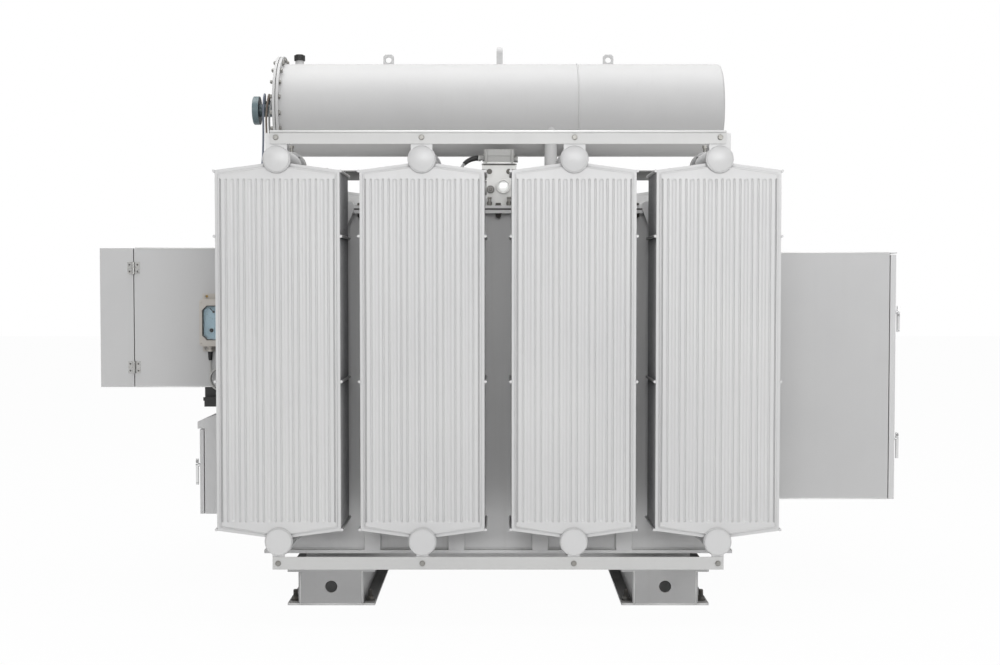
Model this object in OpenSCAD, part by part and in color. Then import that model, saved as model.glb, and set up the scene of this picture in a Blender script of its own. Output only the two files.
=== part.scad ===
// Oil-immersed substation power transformer: tank, eight panel radiators,
// oil conservator, gas relay, two cable boxes and a marshalling box.
// +X runs along the tank, the front is at -Y and the ground is at Z = 0.

/* [Tank] */
// Outer length of the tank
tank_l = 2060; // [2000:10:2100]
// Outer depth of the tank
tank_w = 1140; // [1120:10:1200]
// Height of the tank from the underside of its floor to the top of its rim
tank_h = 1542; // [1500:1:1550]
// Thickness of the tank's walls
tank_wall = 8; // [6:1:12]
// Thickness of the tank's floor
floor_t = 14; // [10:1:18]
// How far the floor stands out as a flange
floor_lip = 25; // [15:1:35]
// Width of the rim that carries the cover, outside the wall
rim_w = 55; // [48:1:60]
// Thickness of the rim
rim_t = 14; // [10:1:18]
// Distance between two upright ribs of the long walls
rib_pitch = 378; // [360:1:400]
// Depth of a rib, away from the wall
rib_depth = 24; // [16:1:26]
// Width of a rib
rib_w = 70; // [50:1:90]
// Width of a lifting lug
lug_w = 96; // [80:1:110]
// Thickness of a lifting lug
lug_t = 20; // [16:1:24]
// Distance of a lifting lug's outer edge from the tank's end
lug_inset = 294; // [280:1:310]
// Height of a lifting lug
lug_h = 140; // [120:1:160]
// Radius of the shackle hole in a lifting lug
lug_hole_r = 22; // [16:1:24]

/* [Cover] */
// Thickness of the gasket under the cover
gasket_t = 8; // [5:1:10]
// Thickness of the cover
cover_t = 12; // [10:1:16]
// Distance between two bolts of the cover
cover_bolt_pitch = 90; // [80:1:110]
// Diameter of the cover's bolts
cover_bolt_d = 16; // [12:1:18]

/* [Base] */
// Height of the skids
skid_h = 160; // [140:1:180]
// Length of the skids, along the tank's depth
skid_l = 1314; // [1280:1:1400]
// Width of a skid over its two webs
skid_w = 286; // [270:1:300]
// Distance of a skid's middle from the tank's end
skid_inset = 284; // [270:1:310]
// Width of a channel's flange
skid_flange_w = 60; // [54:1:66]
// Thickness of a channel's flange
skid_flange_t = 10; // [8:1:12]
// Thickness of a channel's web
skid_web_t = 8; // [6:1:10]
// Thickness of the end plates
skid_end_t = 12; // [10:1:16]
// Radius of the hauling holes in the end plates
haul_r = 27; // [22:1:32]
// Height of the hauling holes above the ground
haul_z = 84; // [70:1:90]
// Height of the cross beams between the tank and its skids
beam_h = 62; // [50:1:80]
// Width of a cross beam
beam_w = 80; // [60:1:100]
// Diameter of the anchor bolts
anchor_d = 20; // [16:1:22]
// Length of the anchor bolts
anchor_l = 58; // [50:1:70]
// Distance of the anchor bolts from the ends of the skids
anchor_inset = 60; // [50:1:80]

/* [Radiators] */
// Width of a radiator's panels
panel_w = 520; // [500:1:530]
// Distance between the two header pipes of a radiator
header_spacing = 1600; // [1560:1:1620]
// Height of the lower header pipes above the ground
header_z = 355; // [350:1:370]
// Distance of the inner radiators from the tank's centre
radiator_x = 317; // [312:1:322]
// Distance between an inner radiator and the outer one beside it
radiator_pitch = 603; // [590:1:615]
// Number of panels in a radiator
panel_count = 8; // [6:1:9]
// Distance between two panels
panel_pitch = 45; // [40:1:48]
// Thickness of a panel's pressed body
panel_t = 14; // [12:1:18]
// Thickness of a panel's welded rim
seam_t = 3; // [2:1:4]
// Width of a panel's welded rim
seam_w = 14; // [12:1:15]
// Height of a panel's corners below the upper header's centre
corner_drop = 45; // [40:1:55]
// Height of a panel's apex below the upper header's centre
apex_drop = 10; // [6:1:20]
// Diameter of a header pipe
header_d = 108; // [100:1:112]
// Diameter of a header's end cap
cap_d = 114; // [113:1:118]
// How far an end cap stands in front of the first panel
cap_reach = 16; // [12:1:24]
// Number of flutes pressed into a panel
flute_count = 20; // [16:1:20]
// Distance between two flutes
flute_pitch = 25; // [24:0.5:25]
// Depth of a flute
flute_depth = 4.5; // [3:0.5:5]
// Width of a narrow flute
flute_narrow = 10; // [8:1:12]
// Width of a wide flute, every third one
flute_wide = 20; // [16:1:22]
// Distance of the flutes' ends from the panel's corners
flute_margin = 36; // [30:1:50]
// Diameter of the tie rods on the panels' edges
tie_d = 12; // [8:1:14]
// Length of the neck between the last panel and the flange
neck_l = 49; // [40:1:60]
// Diameter of the necks, stubs and elbows
neck_d = 80; // [70:1:84]
// Diameter of the header flanges
flange_d = 130; // [126:1:140]
// Thickness of a header flange
flange_t = 16; // [12:1:20]
// Thickness of a shut-off valve's body
valve_t = 30; // [24:1:36]
// Length of the stub between the tank and a valve
stub_l = 30; // [26:1:40]
// Bend radius of the elbows on the cover
elbow_r = 110; // [100:1:118]
// Width of a radiator's lifting lug
rad_lug_w = 55; // [46:1:60]
// Height of a radiator's lifting lug above its header
rad_lug_h = 44; // [36:1:50]
// Radius of the hole in a radiator's lifting lug
rad_lug_r = 11; // [8:1:12]

/* [Rails] */
// Length of the rails
rail_l = 1888; // [1880:1:1900]
// Height of a rail's upright leg
rail_h = 53; // [50:1:60]
// Depth of a rail's level leg
rail_w = 50; // [45:1:60]
// Thickness of a rail
rail_t = 6; // [5:1:8]
// How far a rail stands in front of the end caps
rail_proud = 5; // [4:1:6]
// Clear height between a header cap and a rail
rail_gap = 4; // [3:1:6]
// Width of the tab on an upper header
tab_w = 90; // [80:1:100]
// Width of the tab on a lower header
foot_tab_w = 50; // [44:1:60]
// Thickness of the tabs
tab_t = 8; // [6:1:10]
// Diameter of the rail bolts
rail_bolt_d = 12; // [10:1:14]

/* [Conservator] */
// Length of the conservator's shell
cons_l = 2121; // [2080:1:2160]
// Outer radius of the conservator's shell
cons_r = 223; // [215:1:230]
// Thickness of the conservator's shell
cons_wall = 5; // [4:1:8]
// Height of the conservator's axis above the ground
cons_z = 2280; // [2275:1:2300]
// Distance of the conservator's flange from the tank's centre
cons_left = 1048; // [1040:1:1060]
// Radius of the conservator's end flange
cons_flange_r = 259; // [256:1:265]
// Thickness of the conservator's end flange and of its cover
cons_flange_t = 12; // [10:1:16]
// Number of bolts in the conservator's end flange
cons_bolt_count = 20; // [16:1:24]
// Radius of the circle of the conservator's flange bolts
cons_bolt_circle = 240; // [239:1:241]
// Diameter of the conservator's flange bolts
cons_bolt_d = 12; // [10:1:14]
// Thickness of the conservator's gasket
cons_gasket_t = 4; // [3:1:6]
// Distance of a conservator lug from the tank's centre
cons_lug_x = 535; // [500:1:560]
// Width of a conservator lug
cons_lug_w = 51; // [45:1:60]
// Height of a conservator lug above the shell
cons_lug_h = 48; // [42:1:55]
// Radius of the hole in a conservator lug
cons_lug_r = 14; // [10:1:16]
// Thickness of the conservator's lugs
cons_lug_t = 12; // [10:1:16]
// Height of the lifting eye in the middle of the shell
eye_h = 84; // [70:1:90]
// Thickness of the lifting eye
eye_t = 30; // [24:1:34]
// Distance of the filler cap from the tank's centre
filler_x = 969; // [950:1:980]
// Diameter of the filler cap
filler_d = 53; // [48:1:58]
// Height of the filler cap
filler_h = 26; // [20:1:30]
// Distance of a conservator support from the tank's centre
support_x = 370; // [365:1:375]
// Width of a conservator support along the tank
support_w = 100; // [90:1:110]
// Depth of a conservator support
support_d = 300; // [280:1:320]
// Thickness of the plates of a conservator support
support_t = 10; // [8:1:12]

/* [Gas relay] */
// Distance of the relay's axis in front of the conservator's axis
relay_y = 170; // [168:1:176]
// Height of the relay's axis above the cover
relay_rise = 108; // [104:1:114]
// Diameter of the relay's pipe
relay_pipe_d = 60; // [54:1:66]
// Length of the relay's body over its flanges
relay_l = 190; // [180:1:200]
// Width of the relay's middle
relay_w = 118; // [110:1:126]
// Height of the relay's body
relay_h = 172; // [168:1:176]
// Depth of the relay's body
relay_d = 96; // [90:1:100]
// Width of the relay's terminal box
relay_box_w = 144; // [136:1:150]
// Height of the relay's terminal box
relay_box_h = 76; // [70:1:80]
// Depth of the relay's terminal box
relay_box_d = 96; // [90:1:100]
// Distance of the pipe's upright legs from the relay
relay_leg_x = 250; // [230:1:260]

/* [Gauges] */
// Diameter of the oil level gauge
gauge_d = 137; // [130:1:145]
// Thickness of the oil level gauge's head
gauge_t = 27; // [24:1:32]
// Length of the oil level gauge's neck
gauge_neck_l = 99; // [90:1:105]
// Diameter of the oil level gauge's neck
gauge_neck_d = 62; // [56:1:70]
// Width of the thermometer's case
thermo_w = 122; // [116:1:130]
// Height of the thermometer's case
thermo_h = 215; // [205:1:225]
// Depth of the thermometer's case
thermo_d = 60; // [50:1:70]
// Width of the thermometer's window
window_w = 94; // [88:1:98]
// Height of the thermometer's window
window_h = 155; // [145:1:160]
// Height of the thermometer's middle above the ground
thermo_z = 1257; // [1250:1:1265]
// Distance of the thermometer's middle from the tank's end
thermo_x = 277; // [270:1:285]
// Thickness of the windows of both gauges
glass_t = 3; // [2:1:4]

/* [Left cable box] */
// Length of the left cable box, from the tank to its opening
left_l = 651; // [640:1:660]
// Depth of the hinged cover
cover_box_l = 154; // [140:1:165]
// Width of both cable boxes, along the tank's depth
box_w = 800; // [790:1:810]
// Height of the left cable box
left_h = 642; // [630:1:650]
// Height of the left cable box above the ground
left_z = 958; // [955:1:965]
// Thickness of the cabinets' sheet
sheet_t = 4; // [3:1:5]
// Height of a hinge on the left cable box
hinge_h = 56; // [50:1:64]
// Width of one hinge leaf
hinge_leaf_w = 19; // [16:1:22]
// Height of the upper left hinge above the box's floor
hinge_high = 550; // [540:1:560]
// Height of the lower left hinge above the box's floor
hinge_low = 92; // [80:1:110]

/* [Right cable box] */
// Length of the right cable box, from the tank to its door
right_l = 777; // [770:1:790]
// Height of the right cable box
right_h = 1143; // [1130:1:1155]
// Height of the right cable box above the ground
right_z = 437; // [430:1:445]
// Thickness of the door
door_t = 26; // [22:1:30]
// Height of the upper handle above the box's floor
handle_high = 867; // [850:1:880]
// Height of the lower handle above the box's floor
handle_low = 275; // [260:1:290]
// Distance of the handles from the door's front edge
handle_inset = 70; // [60:1:80]
// How far a handle stands out of its door
handle_reach = 37; // [34:1:40]
// Length of a handle's lever below its shaft
lever_l = 94; // [85:1:100]
// Depth of the rain lip above the door
lip_d = 34; // [30:1:40]

/* [Marshalling box] */
// Depth of the marshalling box, from the tank to its door
marsh_l = 332; // [325:1:340]
// Width of the marshalling box, along the tank's depth
marsh_w = 460; // [440:1:480]
// Height of the marshalling box's body
marsh_h = 397; // [390:1:410]
// Height of the marshalling box above the ground
marsh_z = 368; // [360:1:380]
// Height of the roof's edge
roof_edge_h = 32; // [28:1:36]
// Rise of the roof towards the tank
roof_rise = 145; // [135:1:148]
// How far the roof stands over the door
roof_reach = 32; // [30:1:36]
// Thickness of the marshalling box's door
marsh_door_t = 18; // [16:1:20]
// Height of the marshalling handle above the box's floor
marsh_handle_z = 219; // [200:1:230]

/* [Core and windings] */
// Diameter of the core's limbs
limb_d = 296; // [280:1:304]
// Free space between the windings of two limbs
phase_gap = 34; // [30:1:40]
// Free space between the outer windings and the tank's end walls
end_clear = 64; // [50:1:70]
// Height of the core's windows
window_clear = 860; // [840:1:880]
// Height of the yokes
yoke_h = 270; // [250:1:280]
// Inner radius of the low-voltage windings
lv_in_r = 162; // [160:1:168]
// Outer radius of the low-voltage windings
lv_out_r = 216; // [208:1:222]
// Inner radius of the high-voltage windings
hv_in_r = 240; // [236:1:246]
// Height of the windings
coil_h = 780; // [760:1:800]
// Width of a core clamp's upright leg
clamp_h = 180; // [160:1:200]
// Thickness of the core clamps
clamp_t = 20; // [16:1:24]

/* [Bushings] */
// Reach of the low-voltage bushings outside the tank
lv_reach = 240; // [220:1:260]
// Radius of the low-voltage bushings' sheds
lv_shed_r = 48; // [44:1:52]
// Distance between two low-voltage bushings
lv_pitch = 150; // [140:1:160]
// Reach of the high-voltage bushings outside the tank
hv_reach = 380; // [360:1:400]
// Radius of the high-voltage bushings' sheds
hv_shed_r = 62; // [56:1:66]
// Distance between two high-voltage bushings
hv_pitch = 220; // [200:1:230]
// Radius of the bushings' stems
stem_r = 18; // [15:1:20]

/* [Fits] */
// Gap between a door and its box
door_gap = 4; // [3:1:5]
// Radial clearance of hinge pins and handle shafts
run_clear = 0.1; // [0.05:0.01:0.1]
// Radial clearance of bolts in their holes
bolt_clear = 1; // [0.5:0.1:1.5]
// Clearance between seated curved faces
seat_clear = 0.3; // [0.2:0.05:0.4]

/* [Hidden] */
lug_x = tank_l / 2 - lug_inset;
skid_x = tank_l / 2 - skid_inset;

// Three limbs stand side by side, so the windings take what the tank's length leaves them
hv_out_r = (tank_l - 2 * tank_wall - 2 * end_clear - 2 * phase_gap) / 6;
limb_pitch = 2 * hv_out_r + phase_gap;
$fn = 48;

// Overall reach to both sides, which puts the origin in the middle of the part
reach_left = tank_l / 2 + left_l + door_gap + cover_box_l;
reach_right = tank_l / 2 + right_l + door_gap + door_t + handle_reach;
tank_x = (reach_left - reach_right) / 2;

// Heights from the ground up
tank_z = skid_h + beam_h;
rim_z = tank_z + tank_h;
cover_z = rim_z + gasket_t;
lid_top = cover_z + cover_t;
top_header_z = header_z + header_spacing;

// Distances from the tank's middle to the faces of a radiator bank
wall_y = tank_w / 2;
stub_y = wall_y + stub_l;
valve_y = stub_y + valve_t;
bank_y = valve_y + flange_t;
last_panel_y = bank_y + neck_l;
first_panel_y = last_panel_y + (panel_count - 1) * panel_pitch + panel_t;
cap_y = first_panel_y + cap_reach;
rail_y = cap_y + rail_proud;
rad_xs = [for (s = [-1, 1], k = [0, 1]) s * (radiator_x + (s < 0 ? 1 - k : k) * radiator_pitch)];

// Heights of the rails
top_rail_z = top_header_z + cap_d / 2 + rail_gap;
bottom_rail_z = header_z - cap_d / 2 - rail_gap - rail_h;
rail_bolt_z = rail_h / 2;

bolt_hole_r = cover_bolt_d / 2 + bolt_clear;
bolt_line_x = tank_l / 2 + rim_w / 2;
bolt_line_y = tank_w / 2 + rim_w / 2;
paint_light = "#cfcfcf";
paint_grey = "#b6b6b6";
paint_shade = "#9c9c9c";
steel = "#c4c4c2";

module at_tank() translate([tank_x, 0, 0]) children();

// A part of the front, made as a part of the rear and mirrored
module on_side(side) mirror([0, side < 0 ? 1 : 0, 0]) children();

// Cylinders that start at the origin and run along X or Y
module rod_x(l, r) rotate([0, 90, 0]) cylinder(h = l, r = r);
module rod_y(l, r) rotate([-90, 0, 0]) cylinder(h = l, r = r);

// A hexagon bar of the height h and the width w across its flats
module hex(h, w) cylinder(h = h, r = w / sqrt(3), $fn = 6);

// Bolt along +Z from the seat of its head, with its nut below the clamped thickness
module bolt(d, grip) {
  hex(0.65 * d, 1.5 * d);
  translate([0, 0, -grip - 1.2 * d]) cylinder(h = grip + 1.2 * d, r = d / 2, $fn = 24);
  translate([0, 0, -grip - 0.8 * d]) hex(0.8 * d, 1.5 * d);
}

// Places along one side of the rim, at equal steps of about the bolt pitch
function steps(l) = max(2, round(l / cover_bolt_pitch));
function side_run(l) = [for (k = [0 : steps(l) - 1]) -l / 2 + k * l / steps(l)];
bolt_places = concat(
  [for (x = side_run(2 * bolt_line_x)) [x, -bolt_line_y]],
  [for (x = side_run(2 * bolt_line_x)) [-x, bolt_line_y]],
  [for (y = side_run(2 * bolt_line_y)) [bolt_line_x, y]],
  [for (y = side_run(2 * bolt_line_y)) [-bolt_line_x, -y]]);

module rim_ring(h) {
  difference() {
    translate([-tank_l / 2 - rim_w, -tank_w / 2 - rim_w, 0])
      cube([tank_l + 2 * rim_w, tank_w + 2 * rim_w, h]);
    translate([-tank_l / 2 + tank_wall, -tank_w / 2 + tank_wall, -1])
      cube([tank_l - 2 * tank_wall, tank_w - 2 * tank_wall, h + 2]);
    for (p = bolt_places) translate([p[0], p[1], -1]) cylinder(h = h + 2, r = bolt_hole_r, $fn = 24);
  }
}

// Bushing holes in the tank's end walls
function lv_places() = [for (k = [-1.5 : 1 : 1.5]) k * lv_pitch];
function hv_places() = [for (k = [-1 : 1]) k * hv_pitch];
lv_z = left_z + left_h / 2;
hv_z = right_z + 0.62 * right_h;
lv_hole_r = stem_r + 14;
hv_hole_r = stem_r + 22;

nut_room = 1.3 * cover_bolt_d + 4;
module tank_lug() {
  lug_y = wall_y + rim_w + 10;
  lug_z = lid_top + 16 - lug_h;
  web_h = rim_z - rim_t - nut_room - lug_z;
  drop = lug_h * 0.3;
  shoulder = lug_w * 0.55;
  translate([lug_x, lug_y + lug_t, lug_z]) rotate([90, 0, 0])
    linear_extrude(lug_t) difference() {
      polygon([[-shoulder, 0], [-lug_w, lug_h - drop], [-lug_w, lug_h - 8], [-lug_w + 8, lug_h],
        [-8, lug_h], [0, lug_h - 8], [0, lug_h - drop], [-10, 0]]);
      translate([-lug_w / 2, lug_h - lug_hole_r - 16]) circle(r = lug_hole_r);
    }
  translate([lug_x - shoulder, wall_y - 1, lug_z]) cube([shoulder - 10, rim_w + 12, web_h]);
}

module tank_shell() color(paint_shade) at_tank() {
  difference() {
    union() {
      translate([-tank_l / 2, -tank_w / 2, tank_z]) cube([tank_l, tank_w, tank_h]);
      translate([-tank_l / 2 - floor_lip, -tank_w / 2 - floor_lip, tank_z])
        cube([tank_l + 2 * floor_lip, tank_w + 2 * floor_lip, floor_t]);
    }
    translate([-tank_l / 2 + tank_wall, -tank_w / 2 + tank_wall, tank_z + floor_t])
      cube([tank_l - 2 * tank_wall, tank_w - 2 * tank_wall, tank_h]);
    for (y = lv_places()) translate([-tank_l / 2 - 1, y, lv_z]) rod_x(tank_wall + 2, lv_hole_r);
    for (y = hv_places())
      translate([tank_l / 2 - tank_wall - 1, y, hv_z]) rod_x(tank_wall + 2, hv_hole_r);
  }
  translate([0, 0, rim_z - rim_t]) rim_ring(rim_t);
  for (k = [-1.5 : 1 : 1.5], side = [-1, 1]) on_side(side)
    translate([k * rib_pitch - rib_w / 2, wall_y - 1, tank_z + floor_t])
      cube([rib_w, rib_depth + 1, tank_h - floor_t - rim_t - nut_room]);
  for (y = [-1, 0, 1]) translate([-skid_x - skid_w / 2, y * tank_w / 3 - beam_w / 2, skid_h])
    cube([2 * skid_x + skid_w, beam_w, beam_h]);
  for (side = [-1, 1], hand = [0, 1]) on_side(side) mirror([hand, 0, 0]) tank_lug();
  for (x = rad_xs, side = [-1, 1]) on_side(side) translate([x, wall_y - 1, header_z]) {
    rod_y(stub_l + 1, neck_d / 2);
    translate([0, stub_l + 1 - flange_t + 2, 0]) rod_y(flange_t - 2, flange_d / 2);
  }
}

pocket_x = 30 - tank_l / 2;
pocket_y = -350;
pocket_h = 60;
module tank_cover() color(paint_light) at_tank() translate([0, 0, cover_z]) difference() {
  union() {
    translate([-tank_l / 2 - rim_w, -tank_w / 2 - rim_w, 0])
      cube([tank_l + 2 * rim_w, tank_w + 2 * rim_w, cover_t]);
    translate([pocket_x, pocket_y, cover_t - 1]) cylinder(h = pocket_h + 1, r = 12);
  }
  for (p = bolt_places)
    translate([p[0], p[1], -1]) cylinder(h = cover_t + 2, r = bolt_hole_r, $fn = 24);
}

module cover_gasket() color("#3a3a3a") at_tank() translate([0, 0, rim_z]) rim_ring(gasket_t);

module cover_bolts() color(steel) at_tank()
  for (p = bolt_places) translate([p[0], p[1], lid_top])
    bolt(cover_bolt_d, cover_t + gasket_t + rim_t);

// Skid: two channels with their flanges outwards, joined by end plates
module channel() {
  translate([0, -skid_l / 2, 0]) cube([skid_web_t, skid_l, skid_h]);
  for (z = [0, skid_h - skid_flange_t])
    translate([skid_web_t - 1, -skid_l / 2, z])
      cube([skid_flange_w - skid_web_t + 1, skid_l, skid_flange_t]);
}

anchor_x = skid_w / 2 - skid_web_t + skid_flange_w / 2 + 4;
anchor_y = skid_l / 2 - anchor_inset;
module anchor_places() for (x = [-anchor_x, anchor_x], y = [-anchor_y, anchor_y])
  translate([x, y, 0]) children();

module skid() difference() {
  union() {
    for (hand = [0, 1]) mirror([hand, 0, 0]) translate([skid_w / 2 - skid_web_t, 0, 0]) channel();
    for (side = [-1, 0, 1])
      translate([-skid_w / 2 + 1, side * (skid_l - skid_end_t) / 2 - skid_end_t / 2, 0])
      cube([skid_w - 2, skid_end_t, skid_h]);
  }
  for (side = [-1, 1]) translate([0, side * (skid_l - skid_end_t) / 2 - skid_end_t, haul_z])
    rod_y(2 * skid_end_t, haul_r);
  anchor_places() translate([0, 0, -1]) cylinder(h = skid_flange_t + 2, r = anchor_d / 2 + bolt_clear);
}

module left_skid() color(paint_shade) at_tank() translate([-skid_x, 0, 0]) skid();
module right_skid() color(paint_shade) at_tank() translate([skid_x, 0, 0]) skid();

module anchor_bolts() color(steel) at_tank()
  for (x = [-skid_x, skid_x]) translate([x, 0, 0]) anchor_places() {
    translate([0, 0, 0.5]) cylinder(h = anchor_l, r = anchor_d / 2);
    translate([0, 0, skid_flange_t]) cylinder(h = 3, r = anchor_d);
    translate([0, 0, skid_flange_t + 3]) hex(0.8 * anchor_d, 1.5 * anchor_d);
  }

// Panel outline, seen from the front, drawn in from the edge by d
module panel_outline(d) {
  half = panel_w / 2 - d;
  low = header_z + corner_drop + d;
  high = top_header_z - corner_drop - d;
  rise = corner_drop - apex_drop;
  polygon([[-half, low], [0, low - rise], [half, low], [half, high], [0, high + rise], [-half, high]]);
}

// A plate along +Y from the place y, cut from the outline below it
module plate_y(y, t) translate([0, y + t, 0]) rotate([90, 0, 0]) linear_extrude(t) children();

// Tool that presses one flute: a round bar with ball ends, lying in the panel's face
module flute(w, l) {
  r = (w * w / 4 + flute_depth * flute_depth) / (2 * flute_depth);
  reach = sqrt(r * r - pow(r - flute_depth, 2));
  translate([0, r - flute_depth, 0]) rotate_extrude($fn = 32) intersection() {
    union() {
      translate([0, reach]) square([r, l - 2 * reach]);
      for (z = [reach, l - reach]) translate([0, z]) circle(r = r);
    }
    translate([0, reach - r]) square([r, l - 2 * reach + 2 * r]);
  }
}

module panel(y, fluted) {
  flute_low = header_z + corner_drop + flute_margin;
  flute_l = top_header_z - corner_drop - flute_margin - flute_low;
  plate_y(y + (panel_t - seam_t) / 2, seam_t) panel_outline(0);
  difference() {
    plate_y(y, panel_t) panel_outline(seam_w);
    if (fluted) for (k = [0 : flute_count - 1])
      translate([(k - (flute_count - 1) / 2) * flute_pitch, y + panel_t, flute_low])
        flute(k % 3 == 2 ? flute_wide : flute_narrow, flute_l);
  }
}

// One header: pipe through the panels, end cap in front, neck and flange behind
// Header with its end cap, neck and flange
module header_pipe(z) translate([0, 0, z]) {
  translate([0, last_panel_y - 20, 0]) rod_y(cap_y - last_panel_y + 20 - 6, header_d / 2);
  translate([0, cap_y - 8, 0]) rod_y(6, cap_d / 2);
  translate([0, cap_y - 2, 0]) rod_y(2, cap_d / 2 - 3);
  translate([0, first_panel_y - 1, 0]) rod_y(4, header_d / 2 + 5);
  translate([0, valve_y, 0]) rod_y(neck_l + flange_t, neck_d / 2);
  translate([0, valve_y, 0]) flange_disc(flange_t);
}

module flange_disc(t) difference() {
  rod_y(t, flange_d / 2);
  for (a = [45 : 90 : 315]) rotate([0, a, 0]) translate([(flange_d + neck_d) / 4 + 1, -1, 0])
    rod_y(t + 2, 5);
}

// Tab that carries a rail, standing on a header
module rail_tab(w, z0, z1, hole_z) difference() {
  translate([-w / 2, rail_y - rail_t - tab_t, z0]) cube([w, tab_t, z1 - z0]);
  translate([0, rail_y - rail_t - tab_t - 1, hole_z]) rod_y(tab_t + 2, rail_bolt_d / 2 + bolt_clear);
}

module radiator() {
  for (k = [0 : panel_count - 1]) panel(last_panel_y + k * panel_pitch, k == panel_count - 1);
  header_pipe(header_z);
  header_pipe(top_header_z);
  rail_tab(tab_w, top_header_z, top_rail_z + rail_h - rail_t - 2, top_rail_z + rail_bolt_z);
  rail_tab(foot_tab_w, bottom_rail_z + rail_t + 2, header_z, bottom_rail_z + rail_bolt_z);
  tie_zs = [header_z + corner_drop + 4, header_z + 0.42 * header_spacing,
    header_z + 0.8 * header_spacing, top_header_z - corner_drop - 4];
  for (x = [-1, 1], z = tie_zs)
    translate([x * (panel_w / 2 + tie_d / 2 - 2), last_panel_y, z])
      rod_y(first_panel_y - last_panel_y - 3, tie_d / 2);
  translate([0, (last_panel_y + first_panel_y) / 2 - 5, top_header_z])
    difference() {
      translate([-rad_lug_w / 2, 0, 0]) cube([rad_lug_w, 10, header_d / 2 + rad_lug_h]);
      translate([0, -1, header_d / 2 + rad_lug_h - rad_lug_w / 2 + 4]) rod_y(12, rad_lug_r);
    }
}

module radiator_at(k, side) color(paint_light) at_tank() on_side(side)
  translate([rad_xs[k], 0, 0]) radiator();
module front_radiator_1() radiator_at(0, -1);
module front_radiator_2() radiator_at(1, -1);
module front_radiator_3() radiator_at(2, -1);
module front_radiator_4() radiator_at(3, -1);
module rear_radiator_1() radiator_at(0, 1);
module rear_radiator_2() radiator_at(1, 1);
module rear_radiator_3() radiator_at(2, 1);
module rear_radiator_4() radiator_at(3, 1);

// Elbow from the cover up and outwards to an upper header's valve
module elbow() {
  bend_y = stub_y - flange_t + 2;
  wall = 5;
  translate([0, bend_y, top_header_z]) difference() {
    rod_y(flange_t - 2, flange_d / 2);
    translate([0, -1, 0]) rod_y(flange_t + 2, neck_d / 2 - wall);
  }
  translate([0, bend_y, top_header_z - elbow_r]) rotate([90, 0, -90]) rotate_extrude(angle = 90)
    translate([elbow_r, 0]) difference() {
      circle(r = neck_d / 2);
      circle(r = neck_d / 2 - wall);
    }
  translate([0, bend_y - elbow_r, lid_top]) difference() {
    cylinder(h = top_header_z - elbow_r - lid_top, r = neck_d / 2);
    translate([0, 0, -1]) cylinder(h = top_header_z - elbow_r - lid_top + 2, r = neck_d / 2 - wall);
  }
}

module header_elbows() color(paint_light) at_tank()
  for (x = rad_xs, side = [-1, 1]) on_side(side) translate([x, 0, 0]) elbow();

// Shut-off valve: a disc valve's body with its spindle boss
module valve() {
  difference() {
    union() {
      rod_y(valve_t, flange_d / 2);
      translate([0, valve_t / 2, 0]) cylinder(h = flange_d / 2 + 18, r = 9);
      translate([0, valve_t / 2, flange_d / 2 + 18]) hex(12, 22);
    }
    translate([0, -1, 0]) rod_y(valve_t + 2, neck_d / 2 - 5);
  }
  translate([0, valve_t / 2 - 4, 0]) rod_y(8, neck_d / 2 - 3);
}

module radiator_valves() color(steel) at_tank()
  for (x = rad_xs, side = [-1, 1], z = [header_z, top_header_z])
    on_side(side) translate([x, stub_y, z]) valve();

// Rail: an angle with its upright leg outwards and its level leg at the top or the bottom
module rail(z, level_z) difference() {
  union() {
    translate([-rail_l / 2, rail_y - rail_t, z]) cube([rail_l, rail_t, rail_h]);
    translate([-rail_l / 2, rail_y - rail_w, level_z]) cube([rail_l, rail_w, rail_t]);
  }
  for (x = rad_xs) translate([x, rail_y - rail_t - 1, z + rail_bolt_z])
    rod_y(rail_t + 2, rail_bolt_d / 2 + bolt_clear);
}

module top_rail(side) color(paint_light) at_tank() on_side(side)
  rail(top_rail_z, top_rail_z + rail_h - rail_t);
module bottom_rail(side) color(paint_light) at_tank() on_side(side) rail(bottom_rail_z, bottom_rail_z);
module front_top_rail() top_rail(-1);
module rear_top_rail() top_rail(1);
module front_bottom_rail() bottom_rail(-1);
module rear_bottom_rail() bottom_rail(1);

module rail_bolts() color(steel) at_tank()
  for (x = rad_xs, side = [-1, 1], z = [bottom_rail_z, top_rail_z])
    on_side(side) translate([x, rail_y, z + rail_bolt_z]) rotate([-90, 0, 0]) {
      difference() {
        cylinder(h = 2, r = rail_bolt_d);
        translate([0, 0, -1]) cylinder(h = 4, r = rail_bolt_d / 2 + 0.5);
      }
      translate([0, 0, 2]) bolt(rail_bolt_d, rail_t + tab_t + 2);
    }

// Oil conservator: a shell that is open at its flange and closed at the other end
shell_x = -cons_left;
module at_shell() at_tank() translate([shell_x, 0, cons_z]) children();
module flange_bolt_places()
  for (k = [0 : cons_bolt_count - 1]) rotate([(k + 0.5) * 360 / cons_bolt_count, 0, 0])
    translate([0, 0, cons_bolt_circle]) children();

module flange_ring(inner) difference() {
  rod_x(cons_flange_t, cons_flange_r);
  translate([-1, 0, 0]) rod_x(cons_flange_t + 2, inner);
  flange_bolt_places() translate([-1, 0, 0]) rod_x(cons_flange_t + 2, cons_bolt_d / 2 + bolt_clear);
}

module lug_on_shell(w, h, t, hole_r, hole_drop) difference() {
  translate([0, t / 2, 0]) rotate([90, 0, 0]) linear_extrude(t)
    polygon([[-w / 2, cons_r - 6], [w / 2, cons_r - 6], [w / 2, cons_r + h - 10],
      [w / 2 - 10, cons_r + h], [-w / 2 + 10, cons_r + h], [-w / 2, cons_r + h - 10]]);
  translate([0, -t / 2 - 1, cons_r + h - hole_drop]) rod_y(t + 2, hole_r);
}

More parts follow.
